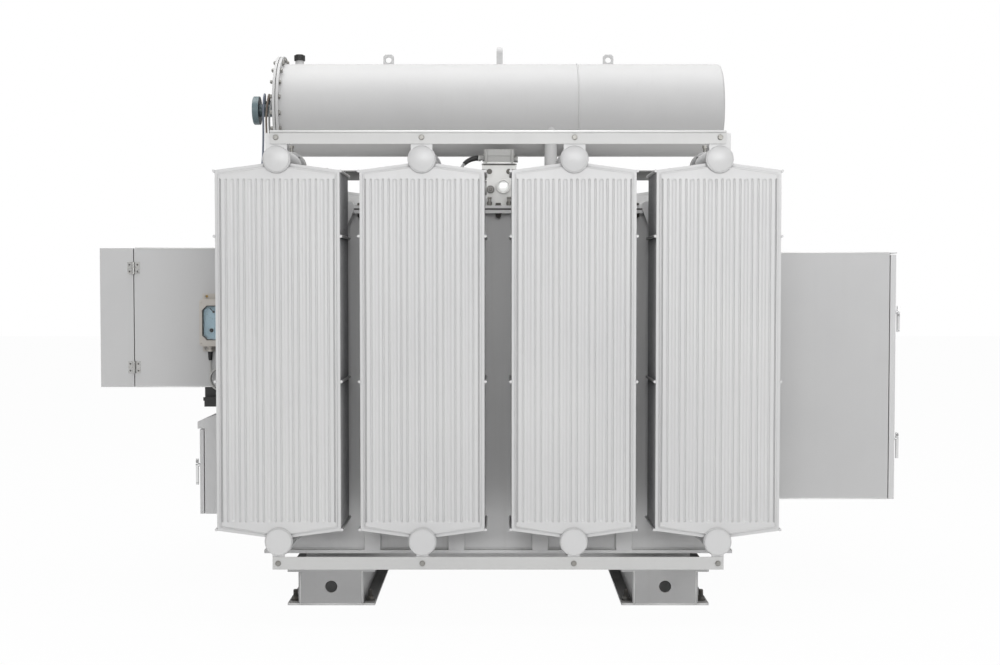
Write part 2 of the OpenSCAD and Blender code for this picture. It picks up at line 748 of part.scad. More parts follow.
module conservator_shell() color(paint_light) at_shell() {
  edge = 12;
  difference() {
    union() {
      rotate([0, 90, 0]) rotate_extrude($fn = 96) {
        square([cons_r, cons_l - edge]);
        square([cons_r - edge, cons_l]);
        translate([cons_r - edge, cons_l - edge]) circle(r = edge);
      }
      for (x = [-cons_lug_x, cons_lug_x]) translate([cons_left + x, 0, 0])
        lug_on_shell(cons_lug_w, cons_lug_h, cons_lug_t, cons_lug_r, 26);
      translate([filler_x_local, 0, 0]) cylinder(h = cons_r + 18, r = filler_d / 2 - 6);
      translate([cons_left + 6, 0, 0]) rotate([0, 0, 90])
        difference() {
          translate([0, eye_t / 2, 0]) rotate([90, 0, 0]) linear_extrude(eye_t) {
            translate([-30, cons_r - 6]) square([60, eye_h - 24]);
            translate([0, cons_r + eye_h - 30]) circle(r = 30);
          }
          translate([0, -eye_t / 2 - 1, cons_r + eye_h - 30]) rod_y(eye_t + 2, 18);
        }
    }
    translate([-1, 0, 0]) rod_x(cons_l - cons_wall + 1, cons_r - cons_wall);
  }
  flange_ring(cons_r - 1);
}
filler_x_local = cons_left - filler_x;

module conservator_gasket() color("#3a3a3a") at_shell() translate([-cons_gasket_t, 0, 0]) difference() {
  rod_x(cons_gasket_t, cons_flange_r - 3);
  translate([-1, 0, 0]) rod_x(cons_gasket_t + 2, cons_r - cons_wall);
  flange_bolt_places() translate([-1, 0, 0]) rod_x(cons_gasket_t + 2, cons_bolt_d / 2 + bolt_clear);
}

end_cover_x = -cons_gasket_t - cons_flange_t;
module conservator_end_cover() color(paint_light) at_shell() translate([end_cover_x, 0, 0]) {
  difference() {
    rod_x(cons_flange_t, cons_flange_r);
    flange_bolt_places() translate([-1, 0, 0]) rod_x(cons_flange_t + 2, cons_bolt_d / 2 + bolt_clear);
  }
}

module conservator_flange_bolts() color(steel) at_shell() flange_bolt_places()
  translate([cons_flange_t, 0, 0]) rotate([0, 90, 0]) bolt(cons_bolt_d, 2 * cons_flange_t + cons_gasket_t);

module filler_cap() color("#1c1c1c") at_shell() translate([filler_x_local, 0, cons_r + 18])
  difference() {
    union() {
      cylinder(h = filler_h, r = filler_d / 2);
      cylinder(h = filler_h + 4, r = filler_d / 2 - 8);
    }
    for (a = [0 : 20 : 340]) rotate([0, 0, a]) translate([filler_d / 2 + 1, 0, -1])
      cylinder(h = filler_h + 2, r = 3);
  }

// Support: a foot on the cover, two upright plates and a saddle under the shell
module support() {
  drop = cons_z - lid_top;
  translate([-support_w / 2, -support_d / 2, lid_top]) cube([support_w, support_d, support_t]);
  for (x = [-support_w / 2 + support_t, support_w / 2 - 2 * support_t]) translate([x, 0, lid_top])
    difference() {
      translate([0, -support_d / 2 + 10, support_t - 1]) cube([support_t, support_d - 20, drop]);
      translate([-1, 0, drop]) rod_x(support_t + 2, cons_r + support_t - 1);
    }
  intersection() {
    translate([-support_w / 2, 0, cons_z]) difference() {
      rod_x(support_w, cons_r + support_t);
      translate([-1, 0, 0]) rod_x(support_w + 2, cons_r + seat_clear);
    }
    translate([-support_w / 2 - 1, -support_d / 2, lid_top]) cube([support_w + 2, support_d, drop]);
  }
}

module conservator_supports() color(paint_light) at_tank()
  for (x = [-support_x, support_x]) translate([x, 0, 0]) support();

// Gas relay in its pipe between the cover and the conservator
relay_x = 4;
relay_z = lid_top + relay_rise;
relay_plate_t = 20;
pipe_bend = 60;
module at_relay() at_tank() translate([relay_x, -relay_y, relay_z]) children();

module relay_flange(x) translate([x, 0, 0]) difference() {
  rod_x(14, relay_pipe_d / 2 + 32);
  for (a = [45 : 90 : 315]) rotate([a, 0, 0]) translate([-1, 0, relay_pipe_d / 2 + 18]) rod_x(16, 6);
}

module pipe_run(hand) mirror([hand, 0, 0]) {
  leg = relay_leg_x - relay_x * (hand == 0 ? 1 : -1);
  translate([relay_l / 2 + 13, 0, 0]) rod_x(leg - pipe_bend - relay_l / 2 - 13, relay_pipe_d / 2);
  relay_flange(relay_l / 2);
}

module pipe_bend_at(up) translate([0, 0, up * pipe_bend]) rotate([up > 0 ? -90 : 90, 0, 0])
  rotate_extrude(angle = 90) translate([pipe_bend, 0]) circle(r = relay_pipe_d / 2);

module relay_pipe() color(paint_light) {
  at_relay() {
    pipe_run(0);
    pipe_run(1);
  }
  at_tank() translate([0, -relay_y, relay_z]) {
    mirror([1, 0, 0]) translate([relay_leg_x - pipe_bend, 0, 0]) pipe_bend_at(-1);
    translate([relay_leg_x - pipe_bend, 0, 0]) pipe_bend_at(1);
    translate([-relay_leg_x, 0, -relay_rise]) cylinder(h = relay_rise - pipe_bend, r = relay_pipe_d / 2);
    translate([-relay_leg_x, 0, -relay_rise]) cylinder(h = 10, r = relay_pipe_d / 2 + 22);
    difference() {
      translate([relay_leg_x, 0, pipe_bend])
        cylinder(h = cons_z - relay_z - pipe_bend - 50, r = relay_pipe_d / 2);
      translate([0, relay_y, cons_z - relay_z]) rod_x(2 * relay_leg_x, cons_r + seat_clear);
    }
  }
}

module gas_relay_body() color(paint_grey) at_relay() {
  translate([-relay_w / 2, -relay_d / 2, -relay_h / 2]) cube([relay_w, relay_d, relay_h]);
  for (hand = [0, 1]) mirror([hand, 0, 0]) {
    translate([relay_w / 2 - 1, 0, 0]) rod_x((relay_l - relay_w) / 2 - 13, relay_pipe_d / 2 + 4);
    relay_flange(relay_l / 2 - 14);
  }
  translate([-relay_box_w / 2 - 9, -relay_box_d / 2, relay_h / 2])
    cube([relay_box_w + 18, relay_box_d, relay_plate_t]);
  for (x = [-1, 1], z = [-1, 1]) translate([x * (relay_w / 2 - 13), -relay_d / 2, z * (relay_h / 2 - 11)])
    rotate([90, 0, 0]) hex(7, 17);
  translate([-relay_w / 2 + 18, -relay_d / 2, -10]) rotate([90, 0, 0]) {
    cylinder(h = 14, r = 17);
    translate([0, 0, 14]) cylinder(h = 8, r = 9);
  }
  translate([relay_w / 6, -relay_d / 2, 4]) rotate([90, 0, 0]) difference() {
    cylinder(h = 10, r = 34);
    translate([0, 0, 5]) cylinder(h = 6, r = 26);
  }
}

module relay_terminal_box() color(paint_grey) at_relay()
  translate([0, 0, relay_h / 2 + relay_plate_t]) {
    lid_h = relay_box_h * 0.42;
    translate([-relay_box_w / 2 + 3, -relay_box_d / 2 + 3, 0])
      cube([relay_box_w - 6, relay_box_d - 6, relay_box_h - lid_h]);
    translate([-relay_box_w / 2, -relay_box_d / 2, relay_box_h - lid_h])
      cube([relay_box_w, relay_box_d, lid_h - 3]);
    for (k = [-3 : 3]) translate([k * relay_box_w / 8 - 4, -relay_box_d / 2 + 4, relay_box_h - 4])
      cube([8, relay_box_d - 8, 4]);
    for (x = [-1, 1], y = [-1, 1]) translate([x * (relay_box_w / 2 - 10), y * (relay_box_d / 2 - 2), 6])
      cylinder(h = relay_box_h - 10, r = 8);
    translate([-relay_box_w / 2 + 3, 0, gland_rise]) rotate([0, -90, 0]) gland(30, 11);
    translate([relay_box_w / 2 - 3, 0, gland_rise - 6]) rotate([0, 90, 0]) hex(20, 26);
  }
gland_rise = 36;
module gland(l, r) {
  hex(l * 0.35, 2.6 * r);
  cylinder(h = l * 0.75, r = r);
  translate([0, 0, l * 0.6]) hex(l * 0.4, 2.3 * r);
}

// Cables: a tube swept along a smooth curve through points chosen by hand
function unit(v) = v / norm(v);
function spline(p, i, t) = let (a = p[max(i - 1, 0)], b = p[i], c = p[i + 1], d = p[min(i + 2, len(p) - 1)])
  0.5 * (2 * b + (c - a) * t + (2 * a - 5 * b + 4 * c - d) * t * t + (3 * b - a - 3 * c + d) * t * t * t);
function smooth(p, n) = concat([for (i = [0 : len(p) - 2], k = [0 : n - 1]) spline(p, i, k / n)],
  [p[len(p) - 1]]);
function tangents(q) = [for (i = [0 : len(q) - 1]) unit(q[min(i + 1, len(q) - 1)] - q[max(i - 1, 0)])];
function normals(t, n, i = 0) = i == len(t) ? [] :
  let (m = unit(n - (n * t[i]) * t[i])) concat([m], normals(t, m, i + 1));
module tube(q, r, sides = 8) {
  t = tangents(q);
  first = abs(t[0][2]) < 0.9 ? [0, 0, 1] : [1, 0, 0];
  n = normals(t, first);
  pts = [for (i = [0 : len(q) - 1], a = [0 : sides - 1])
    q[i] + r * (cos(a * 360 / sides) * n[i] + sin(a * 360 / sides) * cross(t[i], n[i]))];
  skin = [for (i = [0 : len(q) - 2], a = [0 : sides - 1]) let (b = (a + 1) % sides)
    [i * sides + a, (i + 1) * sides + a, (i + 1) * sides + b, i * sides + b]];
  polyhedron(points = pts, convexity = 10, faces = concat([[for (a = [0 : sides - 1]) a]], skin,
    [[for (a = [sides - 1 : -1 : 0]) (len(q) - 1) * sides + a]]));
}

// The way down the tank's end wall, shared by the cables, with k as the place in the row
run_x = -tank_l / 2 - 12;
end_gap = 0.8;
run_y = -wall_y + 50;
function way_down(k, z_end) = let (y = run_y + 22 * k) [
  [run_x - rim_w - 6, y, lid_top + 10], [run_x - rim_w - 6, y, rim_z - 40], [run_x - 6, y, rim_z - 120],
  [run_x, y, rim_z - 170],
  [run_x, y, 1300], [run_x, y, 900], [run_x, y, z_end + 60]];
marsh_front = -box_w / 2;
function entry(k, z) = let (y = run_y + 22 * k)
  [[run_x - 20, y, z + 15], [run_x - 44, y + 10, z], [run_x - 48, marsh_front - 40, z],
  [run_x - 48, marsh_front - 24 - end_gap, z]];
entry_zs = [640, 690, 740, 590];
relay_cable_r = 7;
gauge_cable_r = 5;

relay_gland_z = relay_z + relay_h / 2 + relay_plate_t + gland_rise;
relay_route = concat([
  [relay_x - relay_box_w / 2 - 27 - end_gap, -relay_y, relay_gland_z],
  [relay_x - relay_box_w / 2 - 44, -relay_y, relay_gland_z],
  [-130, -171, relay_gland_z - 3], [-172, -186, relay_gland_z - 36], [-205, -228, 1900],
  [-240, -256, 1824], [-340, -290, lid_top + 12], [-600, -380, lid_top + 12], [-880, -392, lid_top + 12],
  [-1020, -430, lid_top + 20]], way_down(3, entry_zs[3]), entry(3, entry_zs[3]));
module relay_cable() color("#8f9090") at_tank() tube(smooth(relay_route, 3), relay_cable_r);

// Oil level gauge on the conservator's end cover, its dial facing outwards
gauge_x = end_cover_x - gauge_neck_l - gauge_t;
gauge_pocket_r = gauge_d / 2 - 8;
gauge_pocket_l = 16;
module level_gauge_body() color("#6f8f98") at_shell() {
  translate([gauge_x, 0, 0]) difference() {
    union() {
      rod_x(gauge_t, gauge_d / 2);
      translate([gauge_t - 1, 0, 0]) rod_x(gauge_neck_l + 1, gauge_neck_d / 2);
      translate([gauge_t + gauge_neck_l - 12, 0, 0]) rod_x(12, gauge_neck_d / 2 + 16);
      for (k = [0 : 2]) translate([gauge_t + 24 + k * 22, 0, gauge_neck_d / 2 - 3]) cylinder(h = 18, r = 9);
    }
    translate([-1, 0, 0]) rod_x(gauge_pocket_l + 1, gauge_pocket_r);
  }
  translate([gauge_x + gauge_pocket_l - 7, 0, 0]) rod_x(8, 3);
}

module level_gauge_glass() color("#a9c7cf") at_shell() translate([gauge_x + 1, 0, 0])
  rod_x(glass_t, gauge_pocket_r - seat_clear);

module level_gauge_pointer() color("#c23a2a") at_shell() translate([gauge_x + gauge_pocket_l - 7, 0, 0])
  difference() {
    union() {
      rod_x(4, 7);
      translate([1, -2.5, 0]) cube([2, 5, gauge_pocket_r - 12]);
    }
    translate([-1, 0, 0]) rod_x(6, 3 + run_clear);
  }

function gauge_route(k) =
  let (x = -cons_left + gauge_x + gauge_t + 24 + k * 22, top = cons_z + gauge_neck_d / 2 + 15 + end_gap)
  concat([[x, 0, top], [x, 0, top + 8], [x, 0, top + 24],
  [x + 6, -22 - 8 * k, top + 40 - 8 * k], [x + 4, -58 - 8 * k, top + 6],
    [-1136 + 16 * k, -74 - 10 * k, 2240], [-1136 + 16 * k, -74, 2140], [-1138 + 17 * k, -100, 2010],
    [-1138 + 17 * k, -260, 1930], [-1136 + 16 * k, -400, 1880]],
    way_down(k, entry_zs[k]), entry(k, entry_zs[k]));
module gauge_cables() color("#8f9090") at_tank()
  for (k = [0 : 2]) tube(smooth(gauge_route(k), 3), gauge_cable_r);

// Cabinets: a box of sheet metal, open towards -X
module open_box(l, w, h, t) difference() {
  cube([l, w, h]);
  translate([-1, t, t]) cube([l + 2, w - 2 * t, h - 2 * t]);
}

// Hinge about Z: the cabinets' outer faces lie at y = -hinge_off, and this half lies at +X
hinge_off = 8;
knuckle_r = 7;
pin_r = 4;
knuckle_gap = 0.5;
function fixed_spans(h) = [[0, h * 0.3], [h * 0.7, h * 0.3]];
function moving_spans(h) = [[h * 0.3 + knuckle_gap, h * 0.4 - 2 * knuckle_gap]];
module hinge_half(h, spans, bore, leaf_w = hinge_leaf_w) difference() {
  union() {
    translate([knuckle_r + 1.5, -hinge_off, 0]) cube([leaf_w, 3, h]);
    for (s = spans) translate([0, 0, s[0]]) {
      translate([0, -hinge_off, 0]) cube([knuckle_r + 2, 3, s[1]]);
      cylinder(h = s[1], r = knuckle_r);
    }
  }
  if (bore) translate([0, 0, -1]) cylinder(h = h + 2, r = pin_r + run_clear);
}
module hinge_pin(h) cylinder(h = h, r = pin_r);

// Left cable box and its deep hinged cover
left_x = -tank_l / 2 - left_l;
left_axis_x = left_x - door_gap / 2;
hinge_y = box_w / 2 + hinge_off;
module left_cable_box() color(paint_grey) at_tank() translate([left_x, -box_w / 2, left_z])
  open_box(left_l, box_w, left_h, sheet_t);

module left_box_cover() color(paint_grey) at_tank()
  translate([left_x - door_gap - cover_box_l, -box_w / 2, left_z]) difference() {
    cube([cover_box_l, box_w, left_h]);
    translate([sheet_t, sheet_t, sheet_t]) cube([cover_box_l, box_w - 2 * sheet_t, left_h - 2 * sheet_t]);
  }

module left_hinges() at_tank() for (z = [hinge_low, hinge_high])
  translate([left_axis_x, -hinge_y, left_z + z - hinge_h / 2]) mirror([0, 1, 0]) children();
module left_box_hinge_leaves() color(steel) left_hinges() hinge_half(hinge_h, fixed_spans(hinge_h), true);
module left_cover_hinge_leaves() color(steel) left_hinges() mirror([1, 0, 0])
  hinge_half(hinge_h, moving_spans(hinge_h), true);
module left_hinge_pins() color(steel) left_hinges() {
  hinge_pin(hinge_h);
  translate([0, 0, hinge_h]) cylinder(h = 2, r = pin_r + 1.5);
}

// Thermometer on the front of the left cable box
thermo_cx = -tank_l / 2 - thermo_x;
thermo_back = -box_w / 2;
plate_t = 4;
pivot_rise = 50;
pocket_d = 30;
module at_thermo() at_tank() translate([thermo_cx, thermo_back, thermo_z]) children();

module octagon(w, h, cut) polygon([[-w / 2, -h / 2 + cut], [-w / 2 + cut, -h / 2], [w / 2 - cut, -h / 2],
  [w / 2, -h / 2 + cut], [w / 2, h / 2 - cut], [w / 2 - cut, h / 2], [-w / 2 + cut, h / 2],
  [-w / 2, h / 2 - cut]]);

module thermometer_bracket() color("#c9c2b8") at_thermo() difference() {
  translate([-thermo_w / 2 + 3, -plate_t, -thermo_h / 2 - 26]) cube([thermo_w - 6, plate_t, thermo_h + 52]);
  for (x = [-1, 1], z = [-1, 1])
    translate([x * (thermo_w / 2 - 16), -plate_t - 1, z * (thermo_h / 2 + 14)]) rod_y(plate_t + 2, 4);
}

module thermometer_case() color("#bdb6ad") at_thermo() translate([0, -plate_t, 0]) {
  difference() {
    rotate([90, 0, 0]) linear_extrude(thermo_d) octagon(thermo_w, thermo_h, 8);
    translate([0, -thermo_d + pocket_d, 0]) rotate([90, 0, 0])
      linear_extrude(pocket_d + 1) octagon(window_w, window_h, 20);
  }
  translate([0, -thermo_d + pocket_d + 1, pivot_rise]) rotate([90, 0, 0]) cylinder(h = 15, r = 2.5);
  translate([-18, -thermo_d / 2, -thermo_h / 2 + 1]) rotate([180, 0, 0]) gland(26, 10);
}

module thermometer_glass() color("#a9c7cf") at_thermo() translate([0, -plate_t - thermo_d + 3 + glass_t, 0])
  rotate([90, 0, 0]) linear_extrude(glass_t)
    octagon(window_w - 2 * seat_clear, window_h - 2 * seat_clear, 20);

module thermometer_pointer() color("#202020") at_thermo()
  translate([0, -plate_t - thermo_d + pocket_d - 8, pivot_rise]) rotate([90, 0, 0]) difference() {
    union() {
      cylinder(h = 3, r = 5);
      rotate([0, 0, 45]) translate([-1.5, 0, 1]) cube([3, 24, 1.5]);
    }
    translate([0, 0, -1]) cylinder(h = 5, r = 2.5 + run_clear);
  }

// The thermometer's lead hangs in a small coil, then climbs to its pocket in the cover
lead_r = 4;
coil_r = 55;
coil_y = thermo_back - 34;
coil_x = thermo_cx - 18 + coil_r;
coil_z = thermo_z - thermo_h / 2 - 150;
coil_turns = 3;
coil_path = [for (a = [180 : 30 : 180 + 360 * coil_turns + 120])
  [coil_x + coil_r * cos(a), coil_y - (a - 180) / 360 * 9, coil_z + coil_r * sin(a)]];
lead_route = concat(
  smooth([[thermo_cx - 18, coil_y, thermo_z - thermo_h / 2 - 25],
    [thermo_cx - 18, coil_y, thermo_z - thermo_h / 2 - 60],
    [thermo_cx - 18, coil_y, coil_z + 60]], 2),
  coil_path,
  smooth([[-1200, -466, 960], [-1110, run_y + 88, 1000], [run_x, run_y + 88, 1120],
    [run_x, run_y + 88, rim_z - 170], [run_x - 6, run_y + 88, rim_z - 120],
    [run_x - rim_w - 6, run_y + 88, rim_z - 40],
    [run_x - rim_w - 6, run_y + 88, lid_top + 10], [-1056, -410, lid_top + 60],
    [pocket_x, pocket_y, lid_top + pocket_h + 34],
    [pocket_x, pocket_y, lid_top + pocket_h + 17],
    [pocket_x, pocket_y, lid_top + pocket_h + end_gap]], 3));
module thermometer_cable() color("#8f9090") at_tank() tube(lead_route, lead_r);

// Small black junction box on a plate under the left cable box
junction_w = 92;
module junction_box() color("#1c1c1c") at_tank()
  translate([thermo_cx - thermo_w / 2 + 10, -box_w / 2, left_z]) {
  translate([0, 0, -90]) cube([junction_w, 3, 90]);
  translate([4, -36, -88]) cube([junction_w - 8, 36, 42]);
  translate([0, -40, -60]) cube([junction_w, 5, 16]);
}

// Right cable box with its hinged door and two swing handles
right_x = tank_l / 2 + right_l;
right_axis_x = right_x + door_gap / 2;
right_door_h = right_h - sheet_t - door_gap - 2;
door_hinge_h = 70;
door_hinges = [0.12, 0.5, 0.86];
shaft_r = 8;
module right_cable_box() color(paint_grey) at_tank() {
  translate([tank_l / 2, -box_w / 2, right_z]) open_box(right_l, box_w, right_h, sheet_t);
  translate([right_x - 1, -box_w / 2, right_z + right_h - sheet_t]) cube([lip_d + 1, box_w, sheet_t]);
  for (k = door_hinges) translate([right_axis_x, hinge_y, right_z + k * right_door_h]) {
    mirror([1, 0, 0]) hinge_half(door_hinge_h, fixed_spans(door_hinge_h), false);
    hinge_pin(door_hinge_h);
  }
}

module door_pan(l, w, h, t) difference() {
  cube([l, w, h]);
  translate([-1, t, t]) cube([l - t + 1, w - 2 * t, h - 2 * t]);
}

module right_box_door() color(paint_grey) at_tank() {
  difference() {
    translate([right_x + door_gap, -box_w / 2, right_z]) door_pan(door_t, box_w, right_door_h, sheet_t);
    for (z = [handle_low, handle_high]) translate([right_x, -box_w / 2 + handle_inset, right_z + z])
      rod_x(door_t + door_gap + 1, shaft_r + run_clear);
  }
  for (k = door_hinges) translate([right_axis_x, hinge_y, right_z + k * right_door_h])
    hinge_half(door_hinge_h, moving_spans(door_hinge_h), true);
}

// Swing handle at the face of its door, with its shaft along +X and its lever hanging down
lever_t = 11;
module swing_handle(reach, inner_l, cam_hand) {
  translate([-inner_l, 0, 0]) rod_x(inner_l + reach - lever_t + 1, shaft_r);
  translate([seat_clear, 0, 0]) rod_x(5, 17);
  translate([reach - lever_t, 0, 0]) rotate([90, 0, 90]) linear_extrude(lever_t) {
    circle(r = 12);
    polygon([[-9, 0], [-7, 22], [7, 22], [9, 0], [9, -20], [7, 8 - lever_l], [-7, 8 - lever_l], [-9, -20]]);
    translate([0, 22]) circle(r = 7);
    translate([0, 8 - lever_l]) circle(r = 8);
  }
  translate([-inner_l, cam_hand > 0 ? -10 : -45, -10]) cube([5, 55, 20]);
}

module right_handle(z) color("#d8d8d8") at_tank()
  translate([right_x + door_gap + door_t, -box_w / 2 + handle_inset, right_z + z])
    swing_handle(handle_reach, door_t + 6, -1);
module right_upper_handle() right_handle(handle_high);
module right_lower_handle() right_handle(handle_low);

// Marshalling box: sloped roof, hinged door and swing handle
marsh_x = -tank_l / 2 - marsh_l;
marsh_axis_x = marsh_x - door_gap / 2;
marsh_hinge_h = 60;
marsh_hinges = [0.14, 0.7];
marsh_door_h = marsh_h - door_gap;
marsh_rear = marsh_front + marsh_w;
marsh_hinge_y = marsh_rear + hinge_off;
module marshalling_box() color(paint_grey) at_tank() {
  translate([marsh_x, marsh_front, marsh_z]) open_box(marsh_l, marsh_w, marsh_h, sheet_t);
  translate([0, marsh_rear, marsh_z + marsh_h]) rotate([90, 0, 0]) linear_extrude(marsh_w)
    polygon([[marsh_x - roof_reach, 0], [marsh_x - roof_reach, roof_edge_h],
      [-tank_l / 2, roof_edge_h + roof_rise], [-tank_l / 2, 0]]);
  for (k = marsh_hinges) translate([marsh_axis_x, marsh_hinge_y, marsh_z + k * marsh_door_h]) {
    hinge_half(marsh_hinge_h, fixed_spans(marsh_hinge_h), false);
    hinge_pin(marsh_hinge_h);
  }
  translate([marsh_x + 0.7 * marsh_l, marsh_front + sheet_t, marsh_z + marsh_h / 2])
    cube([30, marsh_w - 2 * sheet_t, 8]);
  for (k = [0 : 11])
    translate([marsh_x + 0.7 * marsh_l + 1, marsh_front + 60 + k * 28, marsh_z + marsh_h / 2 + 7])
    cube([28, 24, 40]);
  for (k = [0 : 3]) translate([run_x - 48, marsh_front + 1, entry_zs[k]]) rotate([90, 0, 0]) gland(25, 12);
}

module marshalling_door() color(paint_grey) at_tank() {
  difference() {
    translate([marsh_x - door_gap, marsh_front, marsh_z]) mirror([1, 0, 0])
      door_pan(marsh_door_t, marsh_w, marsh_door_h, sheet_t);
    translate([marsh_x - door_gap - marsh_door_t - 1, marsh_front + handle_inset, marsh_z + marsh_handle_z])
      rod_x(marsh_door_t + 2, shaft_r + run_clear);
  }
  for (k = marsh_hinges) translate([marsh_axis_x, marsh_hinge_y, marsh_z + k * marsh_door_h])
    mirror([1, 0, 0])
      hinge_half(marsh_hinge_h, moving_spans(marsh_hinge_h), true, marsh_door_t - knuckle_r);
}

module marshalling_handle() color("#d8d8d8") at_tank()
  translate([marsh_x - door_gap - marsh_door_t, marsh_front + handle_inset, marsh_z + marsh_handle_z])
    mirror([1, 0, 0]) swing_handle(handle_reach - 4, marsh_door_t + 6, -1);

// Bushing along +X from the outside of a tank wall: flange, sheds, stem and palm
module bushing(reach, shed_r, hole_r) {
  body_r = hole_r - 2;
  shed_pitch = 34;
  sheds = floor((reach - 70) / shed_pitch);
  rod_x(12, hole_r + 20);
  translate([-tank_wall - 18, 0, 0]) rod_x(tank_wall + 19, body_r);
  translate([-tank_wall - 36, 0, 0]) rod_x(30, stem_r);
  rotate([0, 90, 0]) rotate_extrude() {
    translate([0, 10]) square([body_r, 20 + sheds * shed_pitch]);
    for (k = [0 : sheds - 1]) translate([body_r - 1, 24 + k * shed_pitch])
      polygon([[0, 0], [shed_r - body_r, 8], [shed_r - body_r, 12], [0, 18]]);
    square([stem_r, reach - 40]);
  }
  translate([reach - 45, -6, -stem_r - 8]) difference() {
    cube([45, 12, 2 * stem_r + 16]);
    for (z = [12, 2 * stem_r + 4]) translate([26, -1, z]) rod_y(14, 7);
  }
}

module low_voltage_bushings() color("#8a5a3c") at_tank() for (y = lv_places())
  translate([-tank_l / 2, y, lv_z]) mirror([1, 0, 0]) bushing(lv_reach, lv_shed_r, lv_hole_r);
module high_voltage_bushings() color("#8a5a3c") at_tank() for (y = hv_places())
  translate([tank_l / 2, y, hv_z]) bushing(hv_reach, hv_shed_r, hv_hole_r);

// Three-limb core with its clamps, and the windings on its limbs
core_z = tank_z + floor_t + 30;
window_z = core_z + yoke_h;
core_top = window_z + window_clear + yoke_h;
core_depth = limb_d * 0.92;
module core() color("#5a5a5e") at_tank() {
  for (x = [-limb_pitch, 0, limb_pitch]) translate([x, 0, window_z - 1])
    cylinder(h = window_clear + 2, r = limb_d / 2);
  for (z = [core_z, window_z + window_clear])
    translate([-limb_pitch - limb_d / 2, -core_depth / 2, z])
      cube([2 * limb_pitch + limb_d, core_depth, yoke_h]);
}

module core_clamps() color("#7a4a32") at_tank() for (side = [-1, 1]) on_side(side) {
  for (z = [core_z + (yoke_h - clamp_h) / 2, core_top - (yoke_h + clamp_h) / 2])
    translate([-limb_pitch - limb_d / 2, core_depth / 2, z])
      cube([2 * limb_pitch + limb_d, clamp_t, clamp_h]);
  for (x = [-limb_pitch, limb_pitch]) translate([x - 60, core_depth / 2, tank_z + floor_t])
    cube([120, clamp_t, core_z - tank_z - floor_t + (yoke_h - clamp_h) / 2 + 1]);
}

coil_low = window_z + (window_clear - coil_h) / 2;
module tube_z(h, r_in, r_out) difference() {
  cylinder(h = h, r = r_out);
  translate([0, 0, -1]) cylinder(h = h + 2, r = r_in);
}
module windings() color("#b4713d") at_tank() for (x = [-limb_pitch, 0, limb_pitch])
  translate([x, 0, coil_low]) {
    tube_z(coil_h, lv_in_r, lv_out_r);
    tube_z(coil_h, hv_in_r, hv_out_r);
    for (a = [30 : 60 : 330]) rotate([0, 0, a]) translate([lv_out_r - 1, -8, 20])
      cube([hv_in_r - lv_out_r + 2, 16, coil_h - 40]);
    for (a = [0, 180]) rotate([0, 0, a]) translate([lv_in_r + 4, -40, window_z - coil_low])
      cube([hv_out_r - lv_in_r - 8, 80, coil_low - window_z + 1]);
  }

// Lead bars from the coils over the yokes' height to the bushings' inner ends
lead_w = 12;
coil_top = coil_low + coil_h;
module lead(x_end, y_end, z_end, level, y_run, x_coil) {
  for (seg = [
    [[x_end, y_end, z_end], [x_end, y_end, level]], [[x_end, y_end, level], [x_end, y_run, level]],
    [[x_end, y_run, level], [x_coil, y_run, level]], [[x_coil, y_run, coil_top], [x_coil, y_run, level]]]) {
    low = [for (i = [0 : 2])
      min(seg[0][i], seg[1][i]) - (i == 2 && seg[0][2] != seg[1][2] ? 0 : lead_w / 2)];
    high = [for (i = [0 : 2]) max(seg[0][i], seg[1][i]) + lead_w / 2];
    translate(low) cube(high - low);
  }
}

lv_lead_y = (lv_in_r + lv_out_r) / 2;
hv_lead_y = (hv_in_r + hv_out_r) / 2;
lead_level = coil_top + 60;
module winding_leads() color("#b8763f") at_tank() {
  lv_end = -tank_l / 2 + tank_wall + 36 + lead_w / 2;
  hv_end = tank_l / 2 - tank_wall - 36 - lead_w / 2;
  y_lv = lv_places();
  y_hv = hv_places();
  lead(lv_end, y_lv[0], lv_z, lead_level, -lv_lead_y, -limb_pitch);
  lead(lv_end, y_lv[1], lv_z, lead_level + 40, -lv_lead_y, 0);
  lead(lv_end, y_lv[2], lv_z, lead_level + 40, lv_lead_y, limb_pitch);
  lead(lv_end, y_lv[3], lv_z, lead_level, lv_lead_y, -limb_pitch);
  lead(hv_end, y_hv[0], hv_z, lead_level, -hv_lead_y, limb_pitch);
  lead(hv_end, y_hv[1], hv_z, lead_level + 40, -hv_lead_y, 0);
  lead(hv_end, y_hv[2], hv_z, lead_level + 40, hv_lead_y, -limb_pitch);
}

tank_shell();
tank_cover();
cover_gasket();
cover_bolts();
left_skid();
right_skid();
anchor_bolts();
front_radiator_1();
front_radiator_2();
front_radiator_3();
front_radiator_4();
rear_radiator_1();
rear_radiator_2();
rear_radiator_3();
rear_radiator_4();
header_elbows();
radiator_valves();
front_top_rail();
front_bottom_rail();
rear_top_rail();
rear_bottom_rail();
rail_bolts();
conservator_shell();
conservator_end_cover();
conservator_gasket();
conservator_flange_bolts();
filler_cap();
conservator_supports();
relay_pipe();
gas_relay_body();
relay_terminal_box();
relay_cable();
level_gauge_body();
level_gauge_glass();
level_gauge_pointer();
gauge_cables();
left_cable_box();
left_box_cover();
left_box_hinge_leaves();
left_cover_hinge_leaves();
left_hinge_pins();
thermometer_bracket();
thermometer_case();
thermometer_glass();
thermometer_pointer();
thermometer_cable();
junction_box();
marshalling_box();
marshalling_door();
marshalling_handle();
right_cable_box();
right_box_door();
right_upper_handle();
right_lower_handle();
low_voltage_bushings();
high_voltage_bushings();
core();
core_clamps();
windings();
winding_leads();
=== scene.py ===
"""Looks of an oil-filled substation power transformer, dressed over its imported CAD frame.

Lengths are in metres in the CAD frame: +X along the tank, -Y towards the camera, +Z up.
"""

import math

import bmesh
import bpy
from mathutils import Euler, Matrix, Vector


